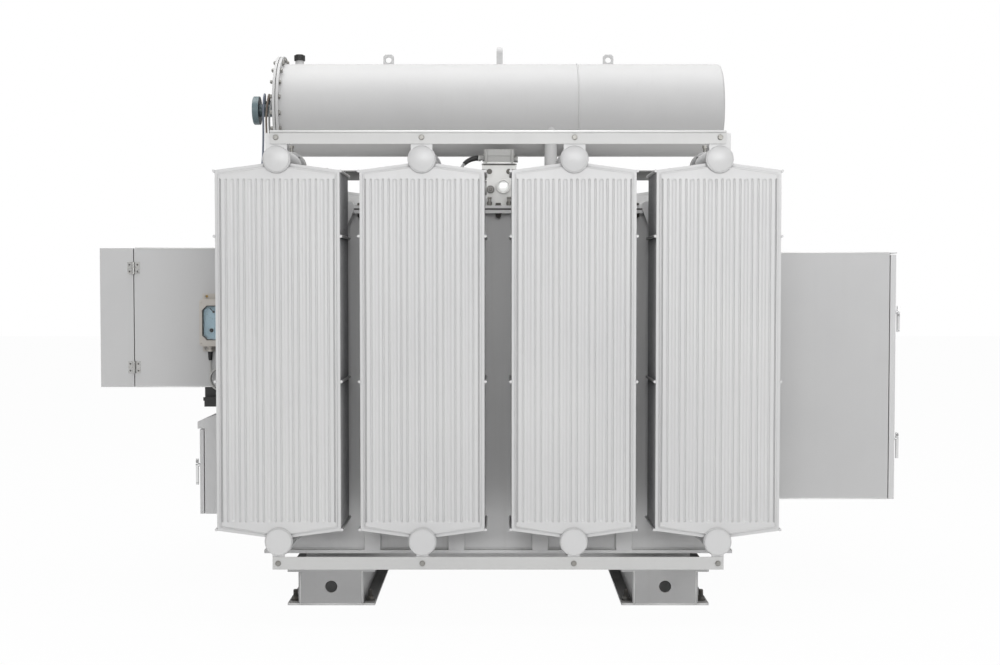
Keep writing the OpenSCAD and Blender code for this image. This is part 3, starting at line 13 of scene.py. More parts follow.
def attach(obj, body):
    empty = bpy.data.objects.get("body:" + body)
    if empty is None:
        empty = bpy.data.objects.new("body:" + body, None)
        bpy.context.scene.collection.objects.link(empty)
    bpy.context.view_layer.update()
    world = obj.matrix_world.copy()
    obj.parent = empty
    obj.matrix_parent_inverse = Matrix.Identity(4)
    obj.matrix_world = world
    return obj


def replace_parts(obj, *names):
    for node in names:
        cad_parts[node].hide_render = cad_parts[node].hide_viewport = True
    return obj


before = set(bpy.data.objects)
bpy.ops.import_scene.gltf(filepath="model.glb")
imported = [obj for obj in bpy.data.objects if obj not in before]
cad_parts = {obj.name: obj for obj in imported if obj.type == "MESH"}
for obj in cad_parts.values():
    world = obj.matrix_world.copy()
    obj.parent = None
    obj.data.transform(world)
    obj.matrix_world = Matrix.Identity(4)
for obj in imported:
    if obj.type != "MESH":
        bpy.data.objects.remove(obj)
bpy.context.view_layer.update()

# Places repeated from the part's source

MM = 0.001
BOTH = (-1, 1)
TANK_X = -0.0175
WALL_Y = 0.5705
LID_TOP = 1.784
RIM_HALF_L, RIM_HALF_W = 1.0575, 0.5975
HEADER_LOW, HEADER_HIGH = 0.355, 1.955
BANK_XS = [TANK_X + x for x in (-0.920, -0.317, 0.317, 0.920)]
PANEL_HALF_W, PANEL_LOW, PANEL_HIGH = 0.260, 0.400, 1.910
FIRST_PANEL_Y = 1.024
CONSERVATOR_LEFT, CONSERVATOR_Z, CONSERVATOR_R = TANK_X - 1.048, 2.280, 0.223
END_BOLT_COUNT, END_BOLT_R = 20, 0.240
SKID_X, SKID_HALF_W, SKID_HALF_L = 0.746, 0.142, 0.655
STUD_X, STUD_Y = 0.169, 0.597
RAIL_FACE_Y, RAIL_ZS = 1.045, (0.2675, 2.0425)
BOX_HALF_W = 0.400
LEFT_AXIS = (-1.7005, -0.408)
LEFT_HINGES = (1.050, 1.508)


def tank_point(x, y, z):
    """A point given in millimetres about the tank's middle, in metres in the frame."""
    return Vector((TANK_X + x * MM, y * MM, z * MM))


# Shader nodes

def feed(nt, socket, source):
    """Links a socket to a node's output, or sets it to a value."""
    if isinstance(source, bpy.types.NodeSocket):
        nt.links.new(source, socket)
    else:
        socket.default_value = source


def join(nt, kind, settings=None, **sources):
    """A node of that kind; its inputs are named by their labels, or i0, i1 and so on by their order."""
    node = nt.nodes.new(kind)
    for key, value in (settings or {}).items():
        setattr(node, key, value)
    for label, source in sources.items():
        key = int(label[1:]) if label[0] == "i" and label[1:].isdigit() else label.replace("_", " ")
        feed(nt, node.inputs[key], source)
    return node


def number(nt, operation, *values, clamp=False):
    """The result of a Math node."""
    node = join(nt, "ShaderNodeMath", {"operation": operation, "use_clamp": clamp})
    for index, source in enumerate(values):
        feed(nt, node.inputs[index], source)
    return node.outputs[0]


def mixed(nt, factor, a, b, blend="MIX"):
    """The colour between a and b."""
    node = join(nt, "ShaderNodeMix", {"data_type": "RGBA", "blend_type": blend})
    for index, source in ((0, factor), (6, a), (7, b)):
        feed(nt, node.inputs[index], source)
    return node.outputs[2]


def tinted(nt, colour, by):
    """The colour multiplied by another one."""
    return mixed(nt, 1.0, colour, by, "MULTIPLY")


def noise(nt, place, scale, detail=3.0):
    return join(nt, "ShaderNodeTexNoise", Vector=place, Scale=scale, Detail=detail,
                Roughness=0.55).outputs["Fac"]


def stretched(nt, place, size):
    """The place with each axis multiplied by its own number, for streaks and grain."""
    return join(nt, "ShaderNodeMapping", Vector=place, Scale=size).outputs[0]


# Camera and light

def set_camera():
    lens = bpy.data.cameras.new("view_camera")
    lens.lens = 50
    lens.sensor_width = 36
    lens.clip_end = 60
    camera = bpy.data.objects.new("view_camera", lens)
    camera.location = (-0.0095, -6.818, 1.446)
    camera.rotation_euler = (math.radians(90 - 2.1), 0, 0)
    bpy.context.scene.collection.objects.link(camera)
    bpy.context.scene.camera = camera


def set_world():
    """White to the camera and through glass; to all else a sky that is brighter overhead."""
    world = bpy.data.worlds.new("studio")
    bpy.context.scene.world = world
    world.use_nodes = True
    nt = world.node_tree
    nt.nodes.clear()
    height = join(nt, "ShaderNodeSeparateXYZ",
                  i0=nt.nodes.new("ShaderNodeTexCoord").outputs["Generated"]).outputs["Z"]
    ramp = join(nt, "ShaderNodeValToRGB", Fac=number(nt, "MULTIPLY_ADD", height, 0.5, 0.5))
    low, high = ramp.color_ramp.elements
    low.position, low.color = 0.30, (0.62, 0.62, 0.62, 1)
    high.position, high.color = 0.85, (1.25, 1.25, 1.26, 1)
    sky = join(nt, "ShaderNodeBackground", Color=ramp.outputs["Color"], Strength=0.42)
    white = join(nt, "ShaderNodeBackground", Color=(1, 1, 1, 1), Strength=1)
    ray = nt.nodes.new("ShaderNodeLightPath").outputs
    direct = number(nt, "MAXIMUM", ray["Is Camera Ray"], ray["Is Transmission Ray"])
    mix = join(nt, "ShaderNodeMixShader", Fac=direct, i1=sky.outputs[0], i2=white.outputs[0])
    join(nt, "ShaderNodeOutputWorld", Surface=mix.outputs[0])


def add_softbox(name, place, aim, size, power):
    light = bpy.data.lights.new(name, "AREA")
    light.shape = "RECTANGLE"
    light.size, light.size_y = size
    light.energy = power
    lamp = bpy.data.objects.new(name, light)
    lamp.location = place
    lamp.rotation_euler = (Vector(aim) - Vector(place)).to_track_quat("-Z", "Y").to_euler()
    bpy.context.scene.collection.objects.link(lamp)


def set_floor():
    """A pale floor that shows white, but keeps a faint shadow and stays unlit inside the skids."""
    level, reach, glow_share = -0.0005, 30, 0.97
    mesh = bpy.data.meshes.new("floor")
    mesh.from_pydata([(x * reach, y * reach, level) for x, y in ((-1, -1), (1, -1), (1, 1), (-1, 1))],
                     [], [(0, 1, 2, 3)])
    floor = bpy.data.objects.new("floor", mesh)
    bpy.context.scene.collection.objects.link(floor)
    mat = bpy.data.materials.new("floor_white")
    mat.use_nodes = True
    nt = mat.node_tree
    nt.nodes.clear()
    place = join(nt, "ShaderNodeSeparateXYZ",
                 i0=nt.nodes.new("ShaderNodeTexCoord").outputs["Object"]).outputs
    # How far a place lies from the middle of the nearest skid
    across = number(nt, "ABSOLUTE", number(nt, "SUBTRACT", place["X"], TANK_X))
    across = number(nt, "ABSOLUTE", number(nt, "SUBTRACT", across, SKID_X))
    outside = number(nt, "MAXIMUM", number(nt, "GREATER_THAN", across, SKID_HALF_W),
                     number(nt, "GREATER_THAN", number(nt, "ABSOLUTE", place["Y"]), SKID_HALF_L))
    ray = nt.nodes.new("ShaderNodeLightPath").outputs
    direct = number(nt, "MAXIMUM", ray["Is Camera Ray"], ray["Is Glossy Ray"])
    seen = number(nt, "MULTIPLY", direct, number(nt, "MULTIPLY", outside, glow_share))
    bare = join(nt, "ShaderNodeBsdfDiffuse", Color=(0.74, 0.74, 0.74, 1))
    glow = join(nt, "ShaderNodeEmission", Color=(1, 1, 1, 1), Strength=1.0)
    mix = join(nt, "ShaderNodeMixShader", Fac=seen, i1=bare.outputs[0], i2=glow.outputs[0])
    join(nt, "ShaderNodeOutputMaterial", Surface=mix.outputs[0])
    mesh.materials.append(mat)


# Shader groups

def new_film(name, *inputs):
    """A group that takes a place, a colour and its own values, and gives colour, roughness and height."""
    kinds = {"f": "NodeSocketFloat", "c": "NodeSocketColor", "v": "NodeSocketVector"}
    group = bpy.data.node_groups.new(name, "ShaderNodeTree")
    for label, kind, value in (("Place", "v", None), ("Colour", "c", (0.5, 0.5, 0.5, 1)), *inputs):
        socket = group.interface.new_socket(label, in_out="INPUT", socket_type=kinds[kind])
        if value is not None:
            socket.default_value = value
    for label, kind in (("Colour", "c"), ("Roughness", "f"), ("Height", "f")):
        group.interface.new_socket(label, in_out="OUTPUT", socket_type=kinds[kind])
    return group, group.nodes.new("NodeGroupInput").outputs


def end_film(group, tone, rough, height):
    join(group, "NodeGroupOutput", Colour=tone, Roughness=rough, Height=height)
    return group


def make_enamel_group():
    """Sprayed enamel: cloudy tone, runs down the walls, dust on top, painted shade in gaps, orange peel."""
    group, given = new_film("enamel_film", ("Dust", "f", 0.3), ("Runs", "f", 0.3), ("Gloss", "f", 0.35),
                            ("Crevice", "f", 1.0))
    place, colour = given["Place"], given["Colour"]
    cloud = noise(group, place, 1.7, 4.0)
    tone = mixed(group, number(group, "MULTIPLY_ADD", cloud, 1.5, -0.25, clamp=True),
                 tinted(group, colour, (0.945, 0.945, 0.95, 1)),
                 tinted(group, colour, (1.045, 1.045, 1.04, 1)))
    # Runs down the walls
    run = noise(group, stretched(group, place, (34, 34, 0.8)), 1.0, 2.0)
    run = number(group, "MULTIPLY_ADD", run, 3.2, -1.75, clamp=True)
    run = number(group, "MULTIPLY", number(group, "MULTIPLY", run, given["Runs"]), 0.35)
    tone = mixed(group, run, tone, tinted(group, tone, (0.80, 0.79, 0.76, 1)))
    # Patchy dust on what faces up, and specks everywhere
    patch = noise(group, place, 11.0)
    normal = group.nodes.new("ShaderNodeNewGeometry").outputs["Normal"]
    up = join(group, "ShaderNodeSeparateXYZ", i0=normal).outputs["Z"]
    dust = number(group, "MULTIPLY", number(group, "MULTIPLY_ADD", up, 1.6, -0.6, clamp=True), patch)
    dust = number(group, "MULTIPLY", dust, given["Dust"])
    tone = mixed(group, dust, tone, (0.52, 0.49, 0.44, 1))
    speck = number(group, "MULTIPLY_ADD", noise(group, place, 160.0, 2.0), 9.0, -6.3, clamp=True)
    tone = mixed(group, number(group, "MULTIPLY", speck, 0.10), tone, (0.25, 0.24, 0.22, 1))
    # Painted shade in narrow gaps and close to other parts: the tone darkens towards a near-black copy
    # where ambient occlusion is low
    near = join(group, "ShaderNodeAmbientOcclusion", {"samples": 6}, Distance=0.28).outputs["AO"]
    lit = number(group, "MULTIPLY_ADD", near, 1.9, -0.12, clamp=True)
    gap_shade = number(group, "MULTIPLY", number(group, "SUBTRACT", 1.0, lit), given["Crevice"])
    tone = mixed(group, gap_shade, tone, tinted(group, tone, (0.20, 0.20, 0.21, 1)))
    # Sheen, and the unevenness of sprayed paint
    rough = number(group, "ADD", number(group, "MULTIPLY_ADD", patch, 0.16, -0.08), given["Gloss"])
    rough = number(group, "MULTIPLY_ADD", dust, 0.5, rough, clamp=True)
    wave = number(group, "MULTIPLY", noise(group, place, 26.0, 2.0), 0.75)
    peel = number(group, "MULTIPLY_ADD", noise(group, place, 420.0, 2.0), 0.25, wave)
    return end_film(group, tone, rough, peel)


def make_grain_group():
    """Drawn or milled metal: fine lines along one axis and a cloudy film."""
    group, given = new_film("metal_grain", ("Stain", "f", 0.3), ("Stretch", "v", (1, 1, 1)),
                            ("Gloss", "f", 0.35))
    place, colour = given["Place"], given["Colour"]
    drawn = join(group, "ShaderNodeVectorMath", {"operation": "MULTIPLY"}, i0=place, i1=given["Stretch"])
    lines = noise(group, drawn.outputs[0], 90.0)
    tone = mixed(group, number(group, "MULTIPLY", lines, 0.25), colour,
                 tinted(group, colour, (0.72, 0.72, 0.74, 1)))
    cloud = noise(group, place, 60.0, 4.0)
    stain = number(group, "MULTIPLY", number(group, "MULTIPLY_ADD", cloud, 3.0, -1.4, clamp=True),
                   given["Stain"])
    tone = mixed(group, stain, tone, (0.20, 0.16, 0.12, 1))
    rough = number(group, "MULTIPLY_ADD", lines, 0.2, number(group, "SUBTRACT", given["Gloss"], 0.1))
    rough = number(group, "MULTIPLY_ADD", stain, 0.4, rough, clamp=True)
    return end_film(group, tone, rough, lines)


def make_moulded_group():
    """Moulded plastic or rubber: a fine pebble and a little handling sheen."""
    group, given = new_film("moulded_skin", ("Pebble", "f", 500.0), ("Dust", "f", 0.2), ("Gloss", "f", 0.5))
    place = given["Place"]
    pebble = join(group, "ShaderNodeTexVoronoi", Vector=place, Scale=given["Pebble"]).outputs["Distance"]
    cloud = noise(group, place, 24.0)
    tone = mixed(group, number(group, "MULTIPLY", cloud, given["Dust"]), given["Colour"],
                 (0.36, 0.35, 0.33, 1))
    rough = number(group, "MULTIPLY_ADD", cloud, 0.2, number(group, "SUBTRACT", given["Gloss"], 0.1),
                   clamp=True)
    return end_film(group, tone, rough, pebble)


# Finishes

# The grey enamels stand for one paint; where a copy differs from the radiators' it is painted light or
# shade that evens out the light each part gets
ENAMELS = {  # screen colour, bump strength and depth, dust, runs, gloss, crevice, specular
    "radiator_enamel": ("c6c6c6", 0.20, 0.0004, 0.25, 0.35, 0.34, 1.65, 0.5),
    # Darker copy: painted shade on the rails, against the light that falls strongest on them
    "rail_enamel": ("bebebd", 0.20, 0.0004, 0.20, 0.40, 0.36, 0.50, 0.5),
    # A near-white copy of the grey paint: painted highlight on rolled edges and folds
    "edge_highlight_enamel": ("e4e4e3", 0.10, 0.0002, 0.00, 0.20, 0.36, 0.00, 0.5),
    # Lighter copy: painted light on the elbows in the conservator's shade
    "elbow_enamel": ("dededd", 0.20, 0.0004, 0.10, 0.30, 0.36, 0.15, 0.5),
    # Darker copy: painted shade on the conservator, against the strong light from above
    "conservator_enamel": ("b9b9b9", 0.22, 0.0006, 0.10, 0.30, 0.56, 0.10, 0.3),
    "cabinet_enamel": ("bcbcbc", 0.24, 0.0005, 0.20, 0.20, 0.40, 0.40, 0.5),
    # Lighter copies: painted light on the right door and the marshalling box, against the shade they sit in
    "door_enamel": ("c9c9c9", 0.24, 0.0005, 0.20, 0.20, 0.40, 0.30, 0.5),
    "marshalling_enamel": ("cfcfcf", 0.24, 0.0005, 0.20, 0.20, 0.40, 0.20, 0.5),
    # Much lighter copy: painted light on the tank wall in the shade between the radiators
    "tank_enamel": ("e2e2e2", 0.30, 0.0007, 0.35, 0.60, 0.42, 0.15, 0.5),
    "skid_enamel": ("bebebe", 0.34, 0.0009, 0.50, 0.60, 0.46, 1.00, 0.5),
    "relay_enamel": ("d6d6d4", 0.45, 0.0010, 0.30, 0.50, 0.44, 0.60, 0.5),
    "relay_box_enamel": ("9b9b99", 0.60, 0.0014, 0.50, 0.80, 0.46, 0.80, 0.5),
    "teal_enamel": ("5f7075", 0.30, 0.0005, 0.20, 0.30, 0.38, 1.00, 0.5),
    "warm_enamel": ("bdb8b1", 0.35, 0.0005, 0.30, 0.30, 0.42, 1.00, 0.5),
    "oxide_primer": ("744331", 0.40, 0.0006, 0.20, 0.20, 0.60, 1.00, 0.5),
}
METALS = {  # screen colour, bump strength and depth, metallic, stain, stretch of the grain, gloss
    "zinc_steel": ("8f8e8a", 0.12, 0.0003, 0.60, 0.35, (1, 1, 5), 0.42),
    "dull_steel": ("5e5d5a", 0.12, 0.0003, 0.50, 0.55, (1, 1, 5), 0.48),
    "chrome_steel": ("dcdcdc", 0.03, 0.0001, 1.00, 0.02, (1, 1, 1), 0.14),
    "lamination_steel": ("6a6a6e", 0.30, 0.0005, 0.80, 0.30, (1, 22, 1), 0.45),
    "hinge_steel": ("c4c4c2", 0.10, 0.0002, 1.00, 0.45, (1, 1, 6), 0.27),
    "brass": ("a98f55", 0.10, 0.0002, 0.80, 0.20, (1, 1, 4), 0.35),
    "copper_wrap": ("a8683a", 0.50, 0.0010, 0.25, 0.15, (1, 1, 30), 0.60),
}
MOULDINGS = {  # screen colour, bump strength and depth, coat, pebble, dust, gloss
    "black_moulding": ("161617", 0.20, 0.0003, 0.0, 700.0, 0.05, 0.45),
    "boot_rubber": ("0d0d0e", 0.20, 0.0003, 0.0, 600.0, 0.02, 0.50),
    "gasket_rubber": ("3c3c3c", 0.25, 0.0004, 0.0, 350.0, 0.35, 0.72),
    "grey_sheath": ("8f9091", 0.25, 0.0003, 0.0, 420.0, 0.25, 0.45),
    "pale_sheath": ("b4b4b1", 0.15, 0.0002, 0.0, 420.0, 0.15, 0.45),
    "brown_sheath": ("6b5d52", 0.15, 0.0002, 0.0, 420.0, 0.25, 0.42),
    "blue_sheath": ("646c7c", 0.15, 0.0002, 0.0, 420.0, 0.20, 0.42),
    "dial_paint": ("b9d3e0", 0.02, 0.0001, 0.4, 900.0, 0.05, 0.40),
    "sight_pane": ("f4f6f4", 0.02, 0.0001, 1.0, 900.0, 0.02, 0.10),
    "brown_glaze": ("5b2c18", 0.03, 0.0002, 0.8, 60.0, 0.03, 0.22),
    "red_needle": ("b02a1c", 0.05, 0.0001, 0.0, 900.0, 0.02, 0.40),
    "black_needle": ("141414", 0.05, 0.0001, 0.0, 900.0, 0.02, 0.35),
}


def linear(hex_colour):
    """The linear RGBA colour of a screen colour such as 'c8c8c8'."""
    out = []
    for k in (0, 2, 4):
        v = int(hex_colour[k:k + 2], 16) / 255
        out.append(v / 12.92 if v <= 0.04045 else ((v + 0.055) / 1.055) ** 2.4)
    return (*out, 1.0)


def make_finish(name, group, colour, strength, depth, metallic=0.0, coat=0.0, specular=0.5, **values):
    """A material whose colour, roughness and bump come from one of the groups above."""
    mat = bpy.data.materials.new(name)
    mat.use_nodes = True
    nt = mat.node_tree
    shader = nt.nodes["Principled BSDF"]
    film = join(nt, "ShaderNodeGroup", {"node_tree": group}, Colour=linear(colour), **values,
                Place=nt.nodes.new("ShaderNodeTexCoord").outputs["Object"])
    relief = join(nt, "ShaderNodeBump", Strength=strength, Distance=depth, Height=film.outputs["Height"])
    for label, source in (("Base Color", film.outputs["Colour"]), ("Roughness", film.outputs["Roughness"]),
                          ("Normal", relief.outputs["Normal"]), ("Metallic", metallic),
                          ("Coat Weight", coat), ("Coat Roughness", 0.25),
                          ("Specular IOR Level", specular)):
        feed(nt, shader.inputs[label], source)
    return mat


def make_clear_glass(name, tint):
    mat = bpy.data.materials.new(name)
    mat.use_nodes = True
    shader = mat.node_tree.nodes["Principled BSDF"]
    for label, value in (("Base Color", tint), ("Roughness", 0.03), ("Transmission Weight", 1.0),
                         ("IOR", 1.45)):
        shader.inputs[label].default_value = value
    return mat


def make_finishes():
    """Every finish by its name."""
    enamel, grain, moulded = make_enamel_group(), make_grain_group(), make_moulded_group()
    made = {"gauge_glass": make_clear_glass("gauge_glass", (0.93, 0.97, 0.98, 1))}
    for name, (*bare, dust, runs, gloss, painted_shade, specular) in ENAMELS.items():
        made[name] = make_finish(name, enamel, *bare, specular=specular, Dust=dust, Runs=runs, Gloss=gloss,
                                 Crevice=painted_shade)
    for name, (*bare, metallic, stain, stretch, gloss) in METALS.items():
        made[name] = make_finish(name, grain, *bare, metallic=metallic, Stain=stain, Stretch=stretch,
                                 Gloss=gloss)
    for name, (*bare, coat, pebble, dust, gloss) in MOULDINGS.items():
        made[name] = make_finish(name, moulded, *bare, coat=coat, Pebble=pebble, Dust=dust, Gloss=gloss)
    return made


FINISH = make_finishes()

DRESSING = {
    "radiator_enamel": [bank + "_radiator_%d" % k for bank in ("front", "rear") for k in range(1, 5)],
    "elbow_enamel": ["header_elbows"],
    "rail_enamel": ["front_top_rail", "front_bottom_rail", "rear_top_rail", "rear_bottom_rail"],
    "conservator_enamel": ["conservator_shell", "conservator_end_cover", "conservator_supports",
                           "relay_pipe"],
    "cabinet_enamel": ["left_cable_box", "left_box_cover", "right_cable_box"],
    "door_enamel": ["right_box_door"],
    "marshalling_enamel": ["marshalling_box", "marshalling_door"],
    "tank_enamel": ["tank_shell", "tank_cover"],
    "skid_enamel": ["left_skid", "right_skid"],
    "relay_enamel": ["gas_relay_body"],
    "relay_box_enamel": ["relay_terminal_box"],
    "teal_enamel": ["level_gauge_body"],
    "warm_enamel": ["thermometer_bracket", "thermometer_case"],
    "zinc_steel": ["cover_bolts", "anchor_bolts", "radiator_valves", "rail_bolts",
                   "conservator_flange_bolts"],
    "hinge_steel": ["left_box_hinge_leaves", "left_cover_hinge_leaves", "left_hinge_pins"],
    "chrome_steel": ["marshalling_handle", "right_upper_handle", "right_lower_handle"],
    "lamination_steel": ["core"],
    "black_moulding": ["filler_cap", "junction_box"],
    "gasket_rubber": ["cover_gasket", "conservator_gasket"],
    "grey_sheath": ["relay_cable", "gauge_cables", "thermometer_cable"],
    "brown_glaze": ["low_voltage_bushings", "high_voltage_bushings"],
    "oxide_primer": ["core_clamps"],
    "copper_wrap": ["windings", "winding_leads"],
    "red_needle": ["level_gauge_pointer"],
    "black_needle": ["thermometer_pointer"],
    "gauge_glass": ["level_gauge_glass", "thermometer_glass"],
}


def dress_nodes():
    """Every CAD node gets its finish."""
    for finish, nodes in DRESSING.items():
        for node in nodes:
            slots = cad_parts[node].data.materials
            if not slots:
                slots.append(FINISH[finish])
            for k in range(len(slots)):
                slots[k] = FINISH[finish]


# Pieces in mesh code

def as_piece(name, mesh, finish, body="tank_body", smooth=True):
    """A finished object at the origin that rides on its body."""
    mesh.materials.clear()
    mesh.materials.append(FINISH[finish])
    for face in mesh.polygons:
        face.use_smooth = smooth
        face.material_index = 0
    piece = bpy.data.objects.new(name, mesh)
    bpy.context.scene.collection.objects.link(piece)
    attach(piece, body)
    return piece


def closed_mesh(name, build):
    """A mesh from a bmesh builder, with doubles merged and faces turned outwards."""
    bm = bmesh.new()
    build(bm)
    bmesh.ops.remove_doubles(bm, verts=bm.verts, dist=1e-6)
    bmesh.ops.recalc_face_normals(bm, faces=bm.faces)
    mesh = bpy.data.meshes.new(name)
    bm.to_mesh(mesh)
    bm.free()
    return mesh


def add_part(name, build, finish, smooth=True):
    """A piece from a bmesh builder, with its finish."""
    piece = as_piece(name, closed_mesh(name, build), finish, smooth=smooth)
    return piece


def add_rings(bm, rings):
    """Skins a stack of rings of equal length, each a list of points, and closes both ends."""
    loops = [[bm.verts.new(p) for p in ring] for ring in rings]
    count = len(loops[0])
    for low, high in zip(loops, loops[1:]):
        for k in range(count):
            bm.faces.new((low[k], low[(k + 1) % count], high[(k + 1) % count], high[k]))
    bm.faces.new(list(reversed(loops[0])))
    bm.faces.new(loops[-1])


def add_tube(bm, path, sizes, sides):
    """A round bar along the path, with one radius for each of its points."""
    ahead = (path[1] - path[0]).normalized()
    side = Vector((0, 0, 1)) if abs(ahead.z) < 0.9 else Vector((1, 0, 0))
    rings = []
    for k, point in enumerate(path):
        ahead = (path[min(k + 1, len(path) - 1)] - path[max(k - 1, 0)]).normalized()
        side = (side - ahead * side.dot(ahead)).normalized()
        up = ahead.cross(side)
        rings.append([point + sizes[k] * (math.cos(a) * side + math.sin(a) * up)
                      for a in (j * math.tau / sides for j in range(sides))])
    add_rings(bm, rings)


def add_bars(name, paths, radius, finish, sides=10):
    """Round bars of one thickness along the paths, as one piece."""
    def build(bm):
        for path in paths:
            add_tube(bm, path, [radius] * len(path), sides)
    return add_part(name, build, finish)


def round_ring(radius, z, count=24):
    return [Vector((radius * math.cos(k * math.tau / count), radius * math.sin(k * math.tau / count), z))
            for k in range(count)]


def circle_path(centre, radius, axis, steps=48):
    """A closed ring of points about an axis, 'X' or 'Y', through the centre."""
    path = []
    for k in range(steps + 1):
        c, q = radius * math.cos(k * math.tau / steps), radius * math.sin(k * math.tau / steps)
        path.append(Vector(centre) + Vector((0, c, q) if axis == "X" else (c, 0, q)))
    path[-1] = path[0].copy()
    return path


def bar(a, b):
    """A straight path between two points."""
    return [Vector(a), Vector(b)]


def add_plate(bm, outline, place, thickness):
    """A flat plate: outline points (u, v) put in space by place(u, v, depth)."""
    add_rings(bm, [[place(u, v, 0) for u, v in outline], [place(u, v, thickness) for u, v in outline]])


# Geometry Nodes

def tree_with(name, inputs):
    """A tree with geometry, the named sizes and a finish as its inputs."""
    tree = bpy.data.node_groups.new(name, "GeometryNodeTree")
    tree.interface.new_socket("Geometry", in_out="INPUT", socket_type="NodeSocketGeometry")
    for label, kind, value in inputs:
        socket = tree.interface.new_socket(label, in_out="INPUT", socket_type=kind)
        if value is not None:
            socket.default_value = value
    tree.interface.new_socket("Finish", in_out="INPUT", socket_type="NodeSocketMaterial")
    tree.interface.new_socket("Geometry", in_out="OUTPUT", socket_type="NodeSocketGeometry")
    return tree, tree.nodes.new("NodeGroupInput").outputs


def end_tree(tree, given, geometry):
    """Makes the result real, with its finish."""
    real = join(tree, "GeometryNodeRealizeInstances", Geometry=geometry)
    paint = join(tree, "GeometryNodeSetMaterial", Geometry=real.outputs[0], Material=given["Finish"])
    join(tree, "NodeGroupOutput", i0=paint.outputs[0])
    return tree


def make_scatter_tree():
    """Puts one fastener on every point, turned by the point's own 'turn'."""
    tree, given = tree_with("fasteners_on_points", [
        ("Fastener", "NodeSocketObject", None), ("Size", "NodeSocketFloat", 1.0)])
    shape = join(tree, "GeometryNodeObjectInfo", Object=given["Fastener"]).outputs["Geometry"]
    turn = join(tree, "GeometryNodeInputNamedAttribute", {"data_type": "FLOAT_VECTOR"}, Name="turn")
    turn = join(tree, "FunctionNodeEulerToRotation", i0=turn.outputs["Attribute"]).outputs[0]
    place = join(tree, "GeometryNodeInstanceOnPoints", Points=given["Geometry"], Instance=shape,
                 Rotation=turn, Scale=given["Size"])
    return end_tree(tree, given, place.outputs[0])


def make_bead_tree():
    """A weld bead along the edges of a mesh: a round bar that swells once every pitch."""
    tree, given = tree_with("bead_along_edges", [
        ("Radius", "NodeSocketFloat", 0.003), ("Pitch", "NodeSocketFloat", 0.008),
        ("Swell", "NodeSocketFloat", 0.25), ("Sides", "NodeSocketInt", 6)])
    ring_step = 0.34  # of a pitch, so about three rings to each swell
    curve = join(tree, "GeometryNodeMeshToCurve", Mesh=given["Geometry"]).outputs[0]
    curve = join(tree, "GeometryNodeResampleCurve", {"mode": "LENGTH"}, Curve=curve,
                 Length=number(tree, "MULTIPLY", given["Pitch"], ring_step)).outputs[0]
    along = tree.nodes.new("GeometryNodeSplineParameter").outputs["Length"]
    phase = number(tree, "FRACT", number(tree, "DIVIDE", along, given["Pitch"]))
    ring = join(tree, "GeometryNodeCurvePrimitiveCircle", Resolution=given["Sides"], Radius=given["Radius"])
    skin = join(tree, "GeometryNodeCurveToMesh", Curve=curve, Profile_Curve=ring.outputs["Curve"],
                Scale=number(tree, "MULTIPLY_ADD", phase, given["Swell"], 1.0), Fill_Caps=True)
    return end_tree(tree, given, skin.outputs[0])


SCATTER = make_scatter_tree()
BEAD = make_bead_tree()


def grown(name, base, tree, values, finish, body="tank_body", smooth=True):
    """Runs a tree on a base mesh and keeps its result as a plain piece."""
    holder = bpy.data.objects.new(name + "_base", base)
    bpy.context.scene.collection.objects.link(holder)
    modifier = holder.modifiers.new("grow", "NODES")
    modifier.node_group = tree
    sockets = {s.name: s.identifier for s in tree.interface.items_tree
               if s.item_type == "SOCKET" and s.in_out == "INPUT"}
    for label, value in {**values, "Finish": FINISH[finish]}.items():
        modifier[sockets[label]] = value
    evaluated = holder.evaluated_get(bpy.context.evaluated_depsgraph_get())
    mesh = bpy.data.meshes.new_from_object(evaluated)
    mesh.name = name
    bpy.data.objects.remove(holder)
    piece = as_piece(name, mesh, finish, body, smooth)
    return piece


def scatter(name, fastener, places, finish, body="tank_body"):
    """One fastener mesh on every place (x, y, z, Euler angles), as one piece."""
    shape = bpy.data.objects.new(name + "_shape", fastener)
    bpy.context.scene.collection.objects.link(shape)
    points = bpy.data.meshes.new(name + "_points")
    points.from_pydata([p[:3] for p in places], [], [])
    turn = points.attributes.new("turn", "FLOAT_VECTOR", "POINT")
    for k, p in enumerate(places):
        turn.data[k].vector = p[3]
    piece = grown(name, points, SCATTER, {"Fastener": shape}, finish, body, smooth=False)
    bpy.data.objects.remove(shape)
    return piece


def weld(name, paths, radius, finish, pitch=0.008):
    """A bead along each path; a path that ends where it starts is closed."""
    points, edges = [], []
    for path in paths:
        first = len(points)
        closed = (path[0] - path[-1]).length < 1e-6
        kept = path[:-1] if closed else path
        points += [tuple(p) for p in kept]
        edges += [(first + k, first + k + 1) for k in range(len(kept) - 1)]
        if closed:
            edges.append((first + len(kept) - 1, first))
    base = bpy.data.meshes.new(name + "_paths")
    base.from_pydata(points, edges, [])
    return grown(name, base, BEAD, {"Radius": radius, "Pitch": pitch}, finish)


# Cables, on the routes of the part's source

RUN_X, RUN_Y, ROW = -1042, -520, 22
RUN_OUT = RUN_X - 61
RELAY_ENTRY, GAUGE_ENTRIES = 590, (640, 690, 740)
CABLE_STEP = 0.010


def smooth_path(points, steps=6):
    """The curve through the points that the part's source draws its cables on."""
    points = [tank_point(*p) for p in points]
    last = len(points) - 1
    path = []
    for i in range(last):
        a, b, c, d = points[max(i - 1, 0)], points[i], points[i + 1], points[min(i + 2, last)]
        for k in range(steps):
            t = k / steps
            path.append(0.5 * (2 * b + (c - a) * t + (2 * a - 5 * b + 4 * c - d) * t ** 2
                               + (3 * b - a - 3 * c + d) * t ** 3))
    return path + [points[-1]]


